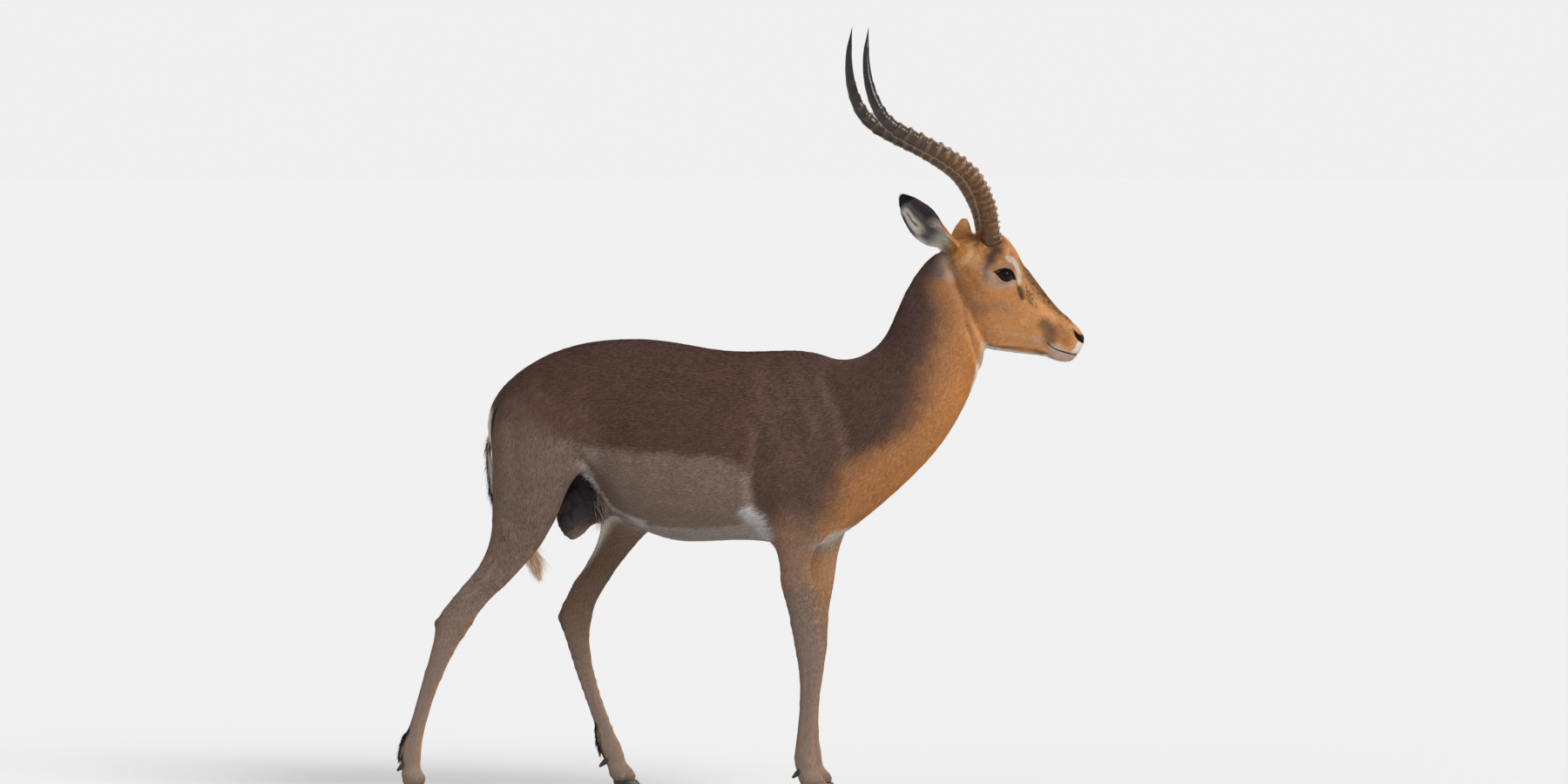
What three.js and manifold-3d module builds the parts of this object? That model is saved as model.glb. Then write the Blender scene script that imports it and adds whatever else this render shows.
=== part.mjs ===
// A life-size impala ram, standing. Millimetres, +X towards the nose, +Y to its left, +Z up.
// The floor is Z 0 and the origin ends up under the middle of the whole animal.
import * as THREE from "three";
import { mergeVertices } from "three/addons/utils/BufferGeometryUtils.js";
import Module from "manifold-3d";

const wasm = await Module();
wasm.setup();

// ---------- driving sizes ----------

const partingGap = 0.3; // between a part and what it grows from
const roomGrowth = 1.25; // keeps that gap at edges too, where corners move at a slant
const eyeRadius = 18;
const nostrilRadius = 6;
const hoofHeight = 36;
const clawHalfWidth = 10.2;
const cleft = 3.2; // between the two claws of a hoof
const dewClawSpread = 11; // of each dew claw from the middle of the leg
const blockSize = 2000; // of the cutters, larger than the animal
const headTurn = THREE.MathUtils.degToRad(12); // the head looks a little to its left
const neckPivot = new THREE.Vector3(425, 0, 0); // the upright line that the head turns about
const right = -1;
const left = 1;

// ---------- colours ----------

const coatRed = material(0x8a5a36, 0.8);
const coatFawn = material(0xa9825e, 0.8);
const coatLeg = material(0xa5805c, 0.8);
const coatPale = material(0xd9cbb8, 0.85);
const skinDark = material(0x3d3733, 0.7);
const hornBrown = material(0x3c2f22, 0.45);
const hoofBlack = material(0x1f1c1a, 0.4);
const eyeBlack = material(0x120c09, 0.08);

function material(color, roughness) {
  return new THREE.MeshStandardMaterial({ color, roughness, metalness: 0 });
}

// ---------- solids over rows of rings ----------

const power = (value, exponent) => Math.sign(value) * Math.abs(value) ** exponent;

// Rows of numbers, made into `count` rows that pass smoothly through them.
function smoothRows(rows, count) {
  const made = [];
  for (let i = 0; i < count; i++) {
    const at = (i / (count - 1)) * (rows.length - 1);
    const k = Math.min(Math.floor(at), rows.length - 2);
    const t = at - k;
    const [a, b, c, d] = [-1, 0, 1, 2].map(
      (step) => rows[Math.min(Math.max(k + step, 0), rows.length - 1)],
    );
    made.push(
      b.map((_, n) => {
        const bend = 2 * a[n] - 5 * b[n] + 4 * c[n] - d[n];
        const twist = 3 * (b[n] - c[n]) + d[n] - a[n];
        return b[n] + 0.5 * t * (c[n] - a[n] + t * (bend + t * twist));
      }),
    );
  }
  return made;
}

// A ring stands round `centre`: `up` and `side` are its two directions, `over` and `under` its
// reach along and against up, `half` its reach to each side. Fullness 2 is an ellipse.
function ringPoint(ring, angle) {
  const c = Math.cos(angle);
  const s = Math.sin(angle);
  const fullness = c > 0 ? ring.fullOver : ring.fullUnder;
  const rise = (c > 0 ? ring.over : ring.under) * power(c, 2 / fullness);
  const toe = 1 - (ring.taper ?? 0) * Math.max(0, c) ** 2;
  const spread = ring.half * power(s, 2 / fullness) * toe;
  return ring.centre.clone().addScaledVector(ring.up, rise).addScaledVector(ring.side, spread);
}

// A closed skin over the rings, drawn to a point at each end that stands out by `crown`.
function shell(rings, sides, { crown = 0, reshape } = {}) {
  const points = [];
  for (const ring of rings) {
    for (let i = 0; i < sides; i++) {
      points.push(ringPoint(ring, (2 * Math.PI * i) / sides));
    }
  }
  const last = rings.length - 1;
  const outwards = (from, to) => {
    const way = rings[to].centre.clone().sub(rings[from].centre).normalize();
    return rings[to].centre.clone().addScaledVector(way, crown);
  };
  points.push(outwards(1, 0), outwards(last - 1, last));
  if (reshape) points.forEach((p) => reshape(p));
  const faces = [];
  for (let r = 0; r < last; r++) {
    for (let i = 0; i < sides; i++) {
      const j = (i + 1) % sides;
      const [a, b, c, d] = [r * sides + i, r * sides + j, (r + 1) * sides + i, (r + 1) * sides + j];
      faces.push(a, c, b, b, c, d);
    }
  }
  const [first, end] = [rings.length * sides, rings.length * sides + 1];
  for (let i = 0; i < sides; i++) {
    const j = (i + 1) % sides;
    faces.push(first, i, j, end, last * sides + j, last * sides + i);
  }
  return solidOf(points, faces);
}

function solidOf(points, faces) {
  const flat = points.flatMap((p) => [p.x, p.y, p.z]);
  const geometry = new THREE.BufferGeometry();
  geometry.setAttribute("position", new THREE.Float32BufferAttribute(flat, 3));
  geometry.setIndex(faces);
  return solidFrom(geometry);
}

function solidFrom(geometry) {
  geometry.deleteAttribute("normal");
  geometry.deleteAttribute("uv");
  const merged = mergeVertices(geometry, 1e-3);
  const made = new wasm.Manifold(
    new wasm.Mesh({
      numProp: 3,
      vertProperties: merged.attributes.position.array,
      triVerts: new Uint32Array(merged.index.array),
    }),
  );
  if (made.volume() > 0) return made;
  const index = merged.index.array;
  for (let i = 0; i < index.length; i += 3) [index[i], index[i + 1]] = [index[i + 1], index[i]];
  return solidFrom(merged);
}

// The geometry of a solid, with a normal at each corner.
function geometryOf(solid) {
  const { vertProperties, triVerts, numProp } = solid.getMesh();
  const points = new Float32Array((vertProperties.length / numProp) * 3);
  for (let i = 0; i < points.length / 3; i++) {
    points.set(vertProperties.subarray(i * numProp, i * numProp + 3), i * 3);
  }
  const geometry = new THREE.BufferGeometry();
  geometry.setAttribute("position", new THREE.BufferAttribute(points, 3));
  geometry.setIndex(new THREE.BufferAttribute(triVerts, 1));
  geometry.computeVertexNormals();
  return geometry;
}

// A cutter that leaves the parting gap all round a solid.
function roomFor(solid) {
  const geometry = geometryOf(solid);
  const { position, normal } = geometry.attributes;
  const point = new THREE.Vector3();
  const way = new THREE.Vector3();
  for (let i = 0; i < position.count; i++) {
    point.fromBufferAttribute(position, i);
    way.fromBufferAttribute(normal, i);
    position.setXYZ(i, ...point.addScaledVector(way, partingGap * roomGrowth));
  }
  return solidFrom(geometry);
}

// A ball, stretched by `scale` and moved to `at`, as a cutter.
function ball(radius, at, scale = [1, 1, 1], turn = [0, 0, 0]) {
  const geometry = new THREE.SphereGeometry(radius, 12, 7);
  geometry.scale(...scale);
  geometry.rotateX(turn[0]).rotateY(turn[1]).rotateZ(turn[2]);
  geometry.translate(...at);
  return solidFrom(geometry);
}

// Turns a point about the neck's upright line by a share of the head's turn.
function turned(point, share) {
  return point
    .sub(neckPivot)
    .applyAxisAngle(new THREE.Vector3(0, 0, 1), headTurn * share)
    .add(neckPivot);
}

// Rings between an upper and a lower outline, seen from the side.
// A row: upper x, upper z, lower x, lower z, half width, place of the widest level from 0, the
// lower outline, to 1, fullness above and below that level, share of the head's turn.
function outlineRings(rows, count) {
  return smoothRows(rows, count).map((row) => {
    const [upperX, upperZ, lowerX, lowerZ, half, level, fullOver, fullUnder, turn] = row;
    const upper = new THREE.Vector3(upperX, 0, upperZ);
    const lower = new THREE.Vector3(lowerX, 0, lowerZ);
    const centre = lower.clone().lerp(upper, level);
    const around = new THREE.Vector3(0, 0, 1);
    return {
      centre: turned(centre.clone(), turn),
      up: upper.clone().sub(lower).normalize().applyAxisAngle(around, headTurn * turn),
      side: new THREE.Vector3(0, 1, 0).applyAxisAngle(around, headTurn * turn),
      over: upper.distanceTo(centre),
      under: lower.distanceTo(centre),
      half,
      fullOver,
      fullUnder,
    };
  });
}

// Rings down a limb. Joints are points, profile rows are: place in joints, reach forward, reach
// back, half width. A ring turns gradually from the line of one bone to that of the next.
function limbRings(joints, profile, count) {
  const path = new THREE.CatmullRomCurve3(joints, false, "centripetal");
  const bones = joints.slice(1).map((joint, i) => {
    const bone = joint.clone().sub(joints[i]);
    return bone.setY(0).normalize();
  });
  return smoothRows(profile, count).map(([place, forward, back, half]) => {
    const at = Math.min(Math.max(place - 0.5, 0), bones.length - 1);
    const k = Math.min(Math.floor(at), bones.length - 2);
    const way = bones[k].clone().lerp(bones[k + 1], at - k).normalize();
    return {
      centre: path.getPoint(place / (joints.length - 1)),
      up: new THREE.Vector3(-way.z, 0, way.x),
      side: new THREE.Vector3(0, 1, 0),
      over: forward,
      under: back,
      half,
      fullOver: 2.1,
      fullUnder: 2.1,
    };
  });
}

// ---------- trunk ----------

// Upper and lower outline from the rump to the front of the chest.
const trunkRows = [
  [-484, 765, -483, 716, 20, 0.5, 2, 2, 0], // under the tail's root
  [-474, 798, -474, 676, 46, 0.5, 2, 2, 0],
  [-449, 826, -452, 648, 70, 0.52, 2, 2, 0],
  [-412, 856, -418, 642, 88, 0.52, 2, 2, 0], // pin bones
  [-366, 882, -368, 650, 101, 0.52, 2, 2, 0], // hip joints
  [-310, 901, -312, 664, 111, 0.5, 2, 2, 0], // croup, over the groin
  [-270, 909, -272, 640, 117, 0.5, 2, 2.1, 0],
  [-232, 913, -238, 572, 123, 0.52, 2.05, 2.1, 0], // points of the hips
  [-175, 914, -180, 531, 133, 0.48, 2.1, 2.1, 0], // flank
  [-105, 906, -105, 510, 142, 0.45, 2.1, 2.2, 0], // belly
  [-37, 893, -37, 512, 145, 0.45, 2.05, 2.2, 0], // last ribs
  [31, 889, 31, 514, 140, 0.46, 2, 2.1, 0],
  [97, 894, 97, 505, 129, 0.46, 1.85, 1.95, 0], // withers and girth
  [152, 892, 158, 496, 117, 0.45, 1.8, 1.9, 0], // brisket
  [200, 878, 212, 520, 104, 0.45, 1.9, 1.9, 0],
  [248, 848, 258, 558, 84, 0.48, 2, 2, 0],
  [284, 812, 296, 604, 60, 0.5, 2, 2, 0],
  [306, 770, 318, 650, 32, 0.5, 2, 2, 0], // front of the chest, inside the neck
];

// Where muscle and bone push the side out, or a hollow draws it in:
// place x, z, reach x, z, and how far.
const trunkForms = [
  { x: 158, z: 655, reachX: 62, reachZ: 80, out: 13 }, // point of the shoulder
  { x: 120, z: 775, reachX: 52, reachZ: 90, out: 9 }, // shoulder blade
  { x: 40, z: 700, reachX: 34, reachZ: 120, out: -4 }, // behind the shoulder
  { x: -235, z: 862, reachX: 34, reachZ: 30, out: 7 }, // point of the hip
  { x: -215, z: 745, reachX: 48, reachZ: 60, out: -9 }, // hollow of the flank
];

function pushForms(point) {
  for (const form of trunkForms) {
    const across = ((point.x - form.x) / form.reachX) ** 2;
    const along = ((point.z - form.z) / form.reachZ) ** 2;
    const share = Math.min(Math.abs(point.y) / 60, 1);
    point.y += Math.sign(point.y) * form.out * share * Math.exp(-across - along);
  }
}

function trunkSolid() {
  return shell(outlineRings(trunkRows, 25), 20, { crown: 4, reshape: pushForms });
}

// ---------- neck ----------

// Nape and throat, from the withers to the poll.
const neckRows = [
  [150, 862, 178, 512, 96, 0.45, 2, 2, 0],
  [203, 872, 236, 538, 97, 0.46, 1.9, 2, 0],
  [256, 879, 318, 608, 88, 0.48, 1.9, 2, 0.05],
  [289, 911, 384, 671, 78, 0.5, 1.9, 2, 0.15],
  [311, 953, 430, 731, 70, 0.5, 1.9, 2, 0.3],
  [330, 997, 459, 787, 65, 0.5, 1.9, 2, 0.5],
  [352, 1037, 480, 837, 57, 0.5, 1.9, 2, 0.7],
  [382, 1073, 492, 880, 48, 0.5, 1.9, 2, 0.9],
  [412, 1090, 496, 922, 38, 0.5, 2, 2, 1],
  [440, 1078, 496, 965, 24, 0.5, 2, 2, 1],
];

function neckSolid() {
  return shell(outlineRings(neckRows, 13), 18, { crown: 4 });
}

// ---------- head ----------

// Forehead to nose above, jaw to chin below.
const headRows = [
  [407, 1078, 420, 1036, 20, 0.5, 2, 2, 1], // back of the skull
  [420, 1099, 432, 985, 42, 0.55, 2, 2, 1],
  [446, 1110, 456, 928, 53, 0.58, 2, 2.1, 1], // ear openings
  [484, 1113, 488, 895, 56, 0.62, 2.1, 2.05, 1], // horn seats, jaw angle
  [522, 1113, 519, 887, 56, 0.66, 2.2, 1.9, 1], // eyes
  [547, 1094, 548, 883, 50, 0.67, 2.2, 1.85, 1],
  [565, 1061, 573, 880, 40, 0.62, 2.2, 1.9, 1], // tear pits
  [592, 1022, 598, 877, 34, 0.52, 2.1, 1.95, 1],
  [617, 989, 620, 873, 30, 0.47, 2.1, 2.1, 1],
  [641, 962, 640, 868, 28, 0.46, 2.2, 2.2, 1], // corner of the mouth
  [664, 945, 657, 868, 27, 0.48, 2.3, 2.2, 1], // nostrils and chin
  [680, 931, 669, 873, 23, 0.5, 2.2, 2, 1],
  [689, 914, 680, 887, 14, 0.5, 2, 2, 1], // nose and lips
];

const eyeCentre = new THREE.Vector3(524, 48, 1036);
const browForm = { x: 523, z: 1054, reach: 26, out: 6 };
const cheekForm = { x: 492, z: 965, reach: 38, out: 4 };

function pushHead(point) {
  turned(point, -1);
  for (const form of [browForm, cheekForm]) {
    const near = ((point.x - form.x) ** 2 + (point.z - form.z) ** 2) / form.reach ** 2;
    const share = Math.min(Math.abs(point.y) / 30, 1);
    point.y += Math.sign(point.y) * form.out * share * Math.exp(-near);
  }
  turned(point, 1);
}

function headShell() {
  return shell(outlineRings(headRows, 24), 18, { crown: 3, reshape: pushHead });
}

// A point of the head as it stands: sideways by side, then turned with the head.
function onHead(point, side) {
  return turned(new THREE.Vector3(point.x, point.y * side, point.z), 1);
}

function nostril(side) {
  const at = onHead(new THREE.Vector3(678, 14, 915), side);
  return ball(nostrilRadius, at.toArray(), [1.5, 0.75, 1], [0, 0.7, headTurn - 0.45 * side]);
}

function withEyesAndNostrils(solid) {
  let made = solid;
  for (const side of [left, right]) {
    const socket = onHead(eyeCentre, side).toArray();
    made = made.subtract(ball(eyeRadius + partingGap, socket));
    made = made.subtract(nostril(side));
  }
  return made;
}

// ---------- horns ----------

// Centre line of the left horn, from inside its seat to the tip: back, out, then up.
const hornPath = [
  [500, 28, 1084],
  [495, 41, 1138],
  [486, 58, 1173],
  [447, 106, 1238],
  [374, 150, 1284],
  [286, 167, 1330],
  [253, 163, 1386],
  [242, 151, 1454],
  [248, 141, 1519],
];
const hornRidges = 16; // raised rings on the lower part
const ridgedShare = 0.66;
const ridgeHeight = 1.9;
const hornBaseRadius = 20.5;

// The radius along the horn: nearly even on the ridged part, then a long taper.
function hornRadius(along) {
  const taper = 1 - 0.4 * along - 0.5 * (Math.max(0, along - 0.45) / 0.55) ** 1.25;
  return hornBaseRadius * taper;
}

function hornSolid(side) {
  const line = hornPath.map(([x, y, z]) => onHead(new THREE.Vector3(x, y, z), side));
  const path = new THREE.CatmullRomCurve3(line, false, "centripetal");
  const rings = [];
  const steps = hornRidges * 2;
  const ringAt = (along, radius) => {
    const way = path.getTangentAt(along);
    const across = new THREE.Vector3(0, 1, 0).cross(way).normalize();
    const front = way.clone().cross(across).normalize();
    return {
      centre: path.getPointAt(along),
      up: across,
      side: front,
      over: radius,
      under: radius,
      half: radius * 0.94,
      fullOver: 2,
      fullUnder: 2,
    };
  };
  for (let i = 0; i <= steps; i++) {
    const along = (i / steps) * ridgedShare;
    const fade = 1 - 0.6 * (i / steps);
    const ridge = i % 2 ? ridgeHeight * fade : -ridgeHeight * 0.5 * fade;
    rings.push(ringAt(along, hornRadius(along) + ridge));
  }
  const smoothSteps = 7;
  for (let i = 1; i <= smoothSteps; i++) {
    const along = ridgedShare + (1 - ridgedShare) * (i / smoothSteps) * 0.995;
    rings.push(ringAt(along, hornRadius(along)));
  }
  return shell(rings, 8, { crown: 2 });
}

// ---------- ears ----------

const earLength = 168;
const earWall = 3.4;
const earBow = 10; // how far its back arches
const earSag = 8; // how far the leaf bellies out towards its lower edge
// Where each ear points and where it opens, before the head's turn: back and up on the right,
// out to the side on the left.
const earPoses = {
  right: { along: [-0.75, 0.17, 0.665], open: [-0.15, 0.95, -0.3] },
  left: { along: [0.17, 0.9, 0.34], open: [0.8, 0.1, -0.4] },
};

// The left ear's leaf: `along` from root to tip, `across` from the lower to the upper edge.
// It is rolled like a funnel at the root and opens towards the tip.
function earPoint(frame, along, across, lift) {
  const leaf = Math.sin(Math.PI * Math.min(0.16 + 0.84 * along, 1) ** 0.92) ** 0.62;
  const width = 47 * leaf * (1 - 0.2 * along) + 3;
  const roll = 0.85 + 1.45 * (1 - along) ** 2.2;
  const radius = width / roll;
  const angle = across * roll;
  const cup = radius + lift;
  const arch = Math.sin(Math.PI * along);
  return frame.root
    .clone()
    .addScaledVector(frame.along, along * earLength)
    .addScaledVector(frame.across, Math.sin(angle) * cup - earSag * arch)
    .addScaledVector(frame.open, radius - Math.cos(angle) * cup - earBow * arch);
}

function earSolid(side, pose) {
  const rows = 10;
  const columns = 8;
  const frame = {
    root: new THREE.Vector3(441, 40, 1086),
    along: new THREE.Vector3(...pose.along).normalize(),
    open: new THREE.Vector3(...pose.open),
  };
  frame.across = new THREE.Vector3().crossVectors(frame.open, frame.along).normalize();
  frame.open.crossVectors(frame.along, frame.across).normalize();
  const points = [];
  for (const lift of [earWall / 2, -earWall / 2]) {
    for (let i = 0; i < rows; i++) {
      for (let j = 0; j < columns; j++) {
        const across = (2 * j) / (columns - 1) - 1;
        const edge = 1 - 0.45 * Math.abs(across) ** 6;
        points.push(onHead(earPoint(frame, i / (rows - 1), across, lift * edge), side));
      }
    }
  }
  const inner = rows * columns;
  const faces = [];
  const wall = (a, b, c, d) => faces.push(a, b, c, b, d, c);
  for (let i = 0; i < rows - 1; i++) {
    for (let j = 0; j < columns - 1; j++) {
      const a = i * columns + j;
      wall(a, a + 1, a + columns, a + columns + 1);
      wall(inner + a + 1, inner + a, inner + a + columns + 1, inner + a + columns);
    }
    const low = i * columns;
    const high = low + columns - 1;
    wall(low, low + columns, inner + low, inner + low + columns);
    wall(high + columns, high, inner + high + columns, inner + high);
  }
  for (let j = 0; j < columns - 1; j++) {
    const tip = (rows - 1) * columns + j;
    wall(j + 1, j, inner + j + 1, inner + j);
    wall(tip, tip + 1, inner + tip, inner + tip + 1);
  }
  return solidOf(points, faces);
}

// ---------- legs ----------

// Joints of each leg: x, distance from the middle, z.
const foreJoints = {
  right: [
    [128, 62, 690], // top of the upper arm
    [116, 68, 548], // elbow
    [157, 64, 302], // knee
    [150, 66, 86], // fetlock
    [166, 68, 40], // coronet
    [182, 68, 4], // inside the hoof
  ],
  left: [
    [165, 62, 690],
    [170, 68, 546],
    [148, 64, 306],
    [146, 66, 88],
    [162, 68, 40],
    [178, 68, 4],
  ],
};
const hindJoints = {
  right: [
    [-372, 54, 822], // croup
    [-370, 66, 758], // hip
    [-388, 80, 570], // stifle
    [-540, 76, 354], // hock
    [-625, 80, 94], // fetlock
    [-618, 81, 40], // coronet
    [-612, 81, 4], // inside the hoof
  ],
  left: [
    [-352, 54, 822],
    [-338, 66, 758],
    [-206, 83, 604],
    [-318, 76, 361],
    [-247, 80, 92],
    [-226, 81, 40],
    [-212, 81, 4],
  ],
};

// Place in joints, reach forward, reach back, half width.
const foreProfile = [
  [0, 48, 50, 26],
  [0.3, 60, 60, 38],
  [0.65, 56, 54, 41],
  [1, 46, 40, 36], // elbow
  [1.25, 39, 36, 29],
  [1.5, 32, 35, 24.5],
  [1.75, 29, 33, 21],
  [2, 31, 30, 22.5], // knee
  [2.17, 27, 24, 19.5],
  [2.4, 21, 20, 15],
  [2.65, 20, 20, 14.2],
  [2.87, 21, 24, 16.5],
  [3, 23, 26, 20], // fetlock
  [3.35, 19, 21, 17],
  [3.7, 20, 20, 18],
  [4, 23, 22, 20.5], // coronet
  [4.5, 26, 24, 21],
];
const hindProfile = [
  [0, 52, 58, 28],
  [0.5, 76, 86, 47],
  [1, 88, 100, 56], // hip
  [1.5, 78, 102, 54],
  [2, 50, 92, 45], // stifle
  [2.25, 53, 58, 37],
  [2.5, 42, 35, 27],
  [2.75, 34, 28, 20.5],
  [3, 32, 42, 21], // hock
  [3.18, 24, 25, 18.5],
  [3.45, 19, 18, 14.2],
  [3.7, 18, 17, 13.8],
  [3.88, 19, 27, 16], // dark tuft over the gland
  [4, 22, 26, 20], // fetlock
  [4.35, 19, 21, 17],
  [4.7, 20, 20, 18],
  [5, 23, 22, 20.5], // coronet
  [5.5, 26, 24, 21],
];

function jointPoints(list, side) {
  return list.map(([x, y, z]) => new THREE.Vector3(x, y * side, z));
}

function legSolid(joints, profile, side) {
  const rings = limbRings(jointPoints(joints, side), profile, 24);
  const floorBlock = new THREE.BoxGeometry(blockSize, blockSize, blockSize);
  floorBlock.translate(0, 0, hoofHeight + partingGap - blockSize / 2);
  return shell(rings, 11, { crown: 4 }).subtract(solidFrom(floorBlock));
}

// Levels of a claw: shift forward from the coronet, reach to the toe, reach to the heel, half
// width, height.
const clawRows = [
  [16, 35, 27, clawHalfWidth, 0],
  [14, 33, 27.5, clawHalfWidth + 0.3, 7],
  [8, 29, 26.5, clawHalfWidth - 0.3, 22],
  [2, 24, 24, clawHalfWidth - 1.2, hoofHeight],
];

// One claw of a hoof, from its flat sole up to the coronet, which lies further back.
function clawSolid(joints, side, inward) {
  const [x, y] = joints.at(-2);
  const centreY = (y + inward * (clawHalfWidth + cleft / 2)) * side;
  const rings = smoothRows(clawRows, 5).map(([shift, toe, heel, width, z]) => ({
    centre: new THREE.Vector3(x + shift, centreY, z),
    up: new THREE.Vector3(1, 0, 0),
    side: new THREE.Vector3(0, 1, 0),
    over: toe,
    under: heel,
    half: width,
    fullOver: 2.1,
    fullUnder: 2.4,
    taper: 0.2,
  }));
  rings[0].centre.z = 0;
  return shell(rings, 10);
}

// A dew claw: a short cone behind the fetlock that points back and down.
function dewClawSolid(joints, side, inward) {
  const [x, y, z] = joints.at(-3);
  const centreY = (y + inward * dewClawSpread) * side;
  const root = new THREE.Vector3(x - 16, centreY, z - 12);
  const tip = new THREE.Vector3(x - 33, centreY, z - 28);
  const rings = [0, 0.5, 1].map((t) => ({
    centre: root.clone().lerp(tip, t),
    up: new THREE.Vector3(0.69, 0, -0.72),
    side: new THREE.Vector3(0, 1, 0),
    over: 7.5 * (1 - 0.6 * t * t),
    under: 7.5 * (1 - 0.6 * t * t),
    half: 6.5 * (1 - 0.5 * t * t),
    fullOver: 2,
    fullUnder: 2,
  }));
  return shell(rings, 5, { crown: 1.5 });
}

// ---------- tail and underside ----------

// The tail hangs close behind and its white brush swings forward between the thighs.
const tailJoints = [
  [-464, 0, 784],
  [-486, 0, 742],
  [-489, 0, 676],
  [-481, 0, 612],
  [-452, 0, 552],
  [-402, 0, 500],
  [-374, 0, 426],
];
const tailProfile = [
  [0, 14, 12, 15],
  [1, 9, 9, 14],
  [2, 7, 7, 12],
  [3, 8, 8, 11.5],
  [4, 13, 13, 11.5],
  [5, 24, 24, 14],
  [5.6, 22, 22, 13],
  [6, 8, 8, 5],
];
const scrotumJoints = [
  [-306, -3, 690],
  [-307, -3, 625],
  [-312, -3, 560],
  [-321, -3, 514],
];
const scrotumProfile = [
  [0, 20, 20, 18],
  [0.8, 24, 24, 20],
  [1.4, 31, 33, 25],
  [2, 38, 42, 29],
  [2.6, 27, 28, 21],
  [3, 8, 9, 7],
];
const sheathJoints = [
  [-262, 0, 610],
  [-260, 0, 570],
  [-254, 0, 541],
];
const sheathProfile = [
  [0, 15, 15, 13],
  [1, 12, 11, 10],
  [1.7, 9, 8, 8],
  [2, 4, 4, 4],
];

function hangingSolid(joints, profile, count, sides) {
  return shell(limbRings(jointPoints(joints, left), profile, count), sides, { crown: 2 });
}

// ---------- assembly ----------

const animal = new THREE.Group();

function place(name, solid, surface) {
  const mesh = new THREE.Mesh(geometryOf(solid), surface);
  mesh.name = name;
  animal.add(mesh);
}

// The largest piece of a cut solid, without the slivers that a cut can leave.
function largest(solid) {
  return solid.decompose().reduce((a, b) => (a.volume() > b.volume() ? a : b));
}

// All that lies ahead of a slanting cut through the neck, from a point above to one below.
function ahead(above, below, turn, shift) {
  const block = new THREE.BoxGeometry(blockSize, blockSize, blockSize);
  block.translate(blockSize / 2 + shift, 0, 0);
  const lean = Math.atan2(above[0] - below[0], above[1] - below[1]);
  block.rotateY(lean);
  block.rotateZ(headTurn * turn);
  const middle = new THREE.Vector3((above[0] + below[0]) / 2, 0, (above[1] + below[1]) / 2);
  block.translate(...turned(middle, turn).toArray());
  return solidFrom(block);
}

const neckBase = [[190, 900], [262, 540], 0];
const neckTop = [[408, 1110], [476, 880], 1];
const whole = trunkSolid().add(neckSolid()).add(headShell());
const wholeRoom = roomFor(whole);

const trunk = whole.subtract(ahead(...neckBase, 0));
const neckAndHead = whole.intersect(ahead(...neckBase, partingGap));
const neck = neckAndHead.subtract(ahead(...neckTop, 0));
const head = withEyesAndNostrils(neckAndHead.intersect(ahead(...neckTop, partingGap)));

place("trunk", largest(trunk), coatRed);
place("neck", largest(neck), coatFawn);
place("head", largest(head), coatFawn);

for (const [name, side] of [["left", left], ["right", right]]) {
  const eye = onHead(eyeCentre, side).toArray();
  place(`eye_${name}`, ball(eyeRadius, eye), eyeBlack);
  place(`horn_${name}`, largest(hornSolid(side).subtract(wholeRoom)), hornBrown);
  const ear = earSolid(side, earPoses[name]).subtract(wholeRoom);
  place(`ear_${name}`, largest(ear), coatFawn);
}

const legKinds = [
  ["fore", foreJoints, foreProfile],
  ["hind", hindJoints, hindProfile],
];
const legRooms = [];
for (const [kind, joints, profile] of legKinds) {
  for (const [name, side] of [["left", left], ["right", right]]) {
    const bones = joints[name];
    const leg = legSolid(bones, profile, side);
    const legRoom = roomFor(leg);
    legRooms.push(legRoom);
    place(`${kind}leg_${name}`, largest(leg.subtract(wholeRoom)), coatLeg);
    for (const [which, inward] of [["outer", 1], ["inner", -1]]) {
      place(`hoof_${kind}_${name}_${which}`, clawSolid(bones, side, inward), hoofBlack);
      const dewClaw = dewClawSolid(bones, side, inward).subtract(legRoom);
      place(`dewclaw_${kind}_${name}_${which}`, largest(dewClaw), hoofBlack);
    }
  }
}

const hanging = [
  ["tail", tailJoints, tailProfile, 13, 8, coatPale],
  ["scrotum", scrotumJoints, scrotumProfile, 8, 10, skinDark],
  ["sheath", sheathJoints, sheathProfile, 5, 6, skinDark],
];
for (const [name, joints, profile, count, sides, surface] of hanging) {
  let solid = hangingSolid(joints, profile, count, sides).subtract(wholeRoom);
  for (const room of legRooms) solid = solid.subtract(room);
  place(name, largest(solid), surface);
}

// The origin: on the floor, under the middle of the whole animal's length and width.
const extent = new THREE.Box3().setFromObject(animal);
const middle = extent.getCenter(new THREE.Vector3());
animal.position.set(-middle.x, -middle.y, -extent.min.z);

export default animal;
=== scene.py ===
import math
import bmesh
import bpy
import numpy as np
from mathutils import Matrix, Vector, noise
from mathutils.bvhtree import BVHTree


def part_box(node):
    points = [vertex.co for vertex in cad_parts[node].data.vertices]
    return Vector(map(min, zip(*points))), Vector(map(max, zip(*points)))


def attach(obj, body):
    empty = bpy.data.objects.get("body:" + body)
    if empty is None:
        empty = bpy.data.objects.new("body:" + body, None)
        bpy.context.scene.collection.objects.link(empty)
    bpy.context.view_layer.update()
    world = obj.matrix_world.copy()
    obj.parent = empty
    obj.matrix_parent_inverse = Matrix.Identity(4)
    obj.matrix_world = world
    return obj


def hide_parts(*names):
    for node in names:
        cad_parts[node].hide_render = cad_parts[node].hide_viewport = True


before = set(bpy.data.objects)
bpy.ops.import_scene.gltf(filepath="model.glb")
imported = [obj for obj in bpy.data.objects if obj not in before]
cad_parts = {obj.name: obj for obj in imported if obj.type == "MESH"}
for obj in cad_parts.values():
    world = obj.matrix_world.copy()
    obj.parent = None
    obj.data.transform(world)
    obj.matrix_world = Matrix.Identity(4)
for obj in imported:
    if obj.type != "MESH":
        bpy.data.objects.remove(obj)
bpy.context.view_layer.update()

mm = 0.001
sides = ("left", "right")
upwards = np.array([0, 0, 1])
fleshKinds = ("trunk", "neck", "head", "ear", "foreleg", "hindleg", "tail", "scrotum", "sheath")
fleshNodes = sorted(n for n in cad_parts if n.split("_")[0] in fleshKinds)


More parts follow.
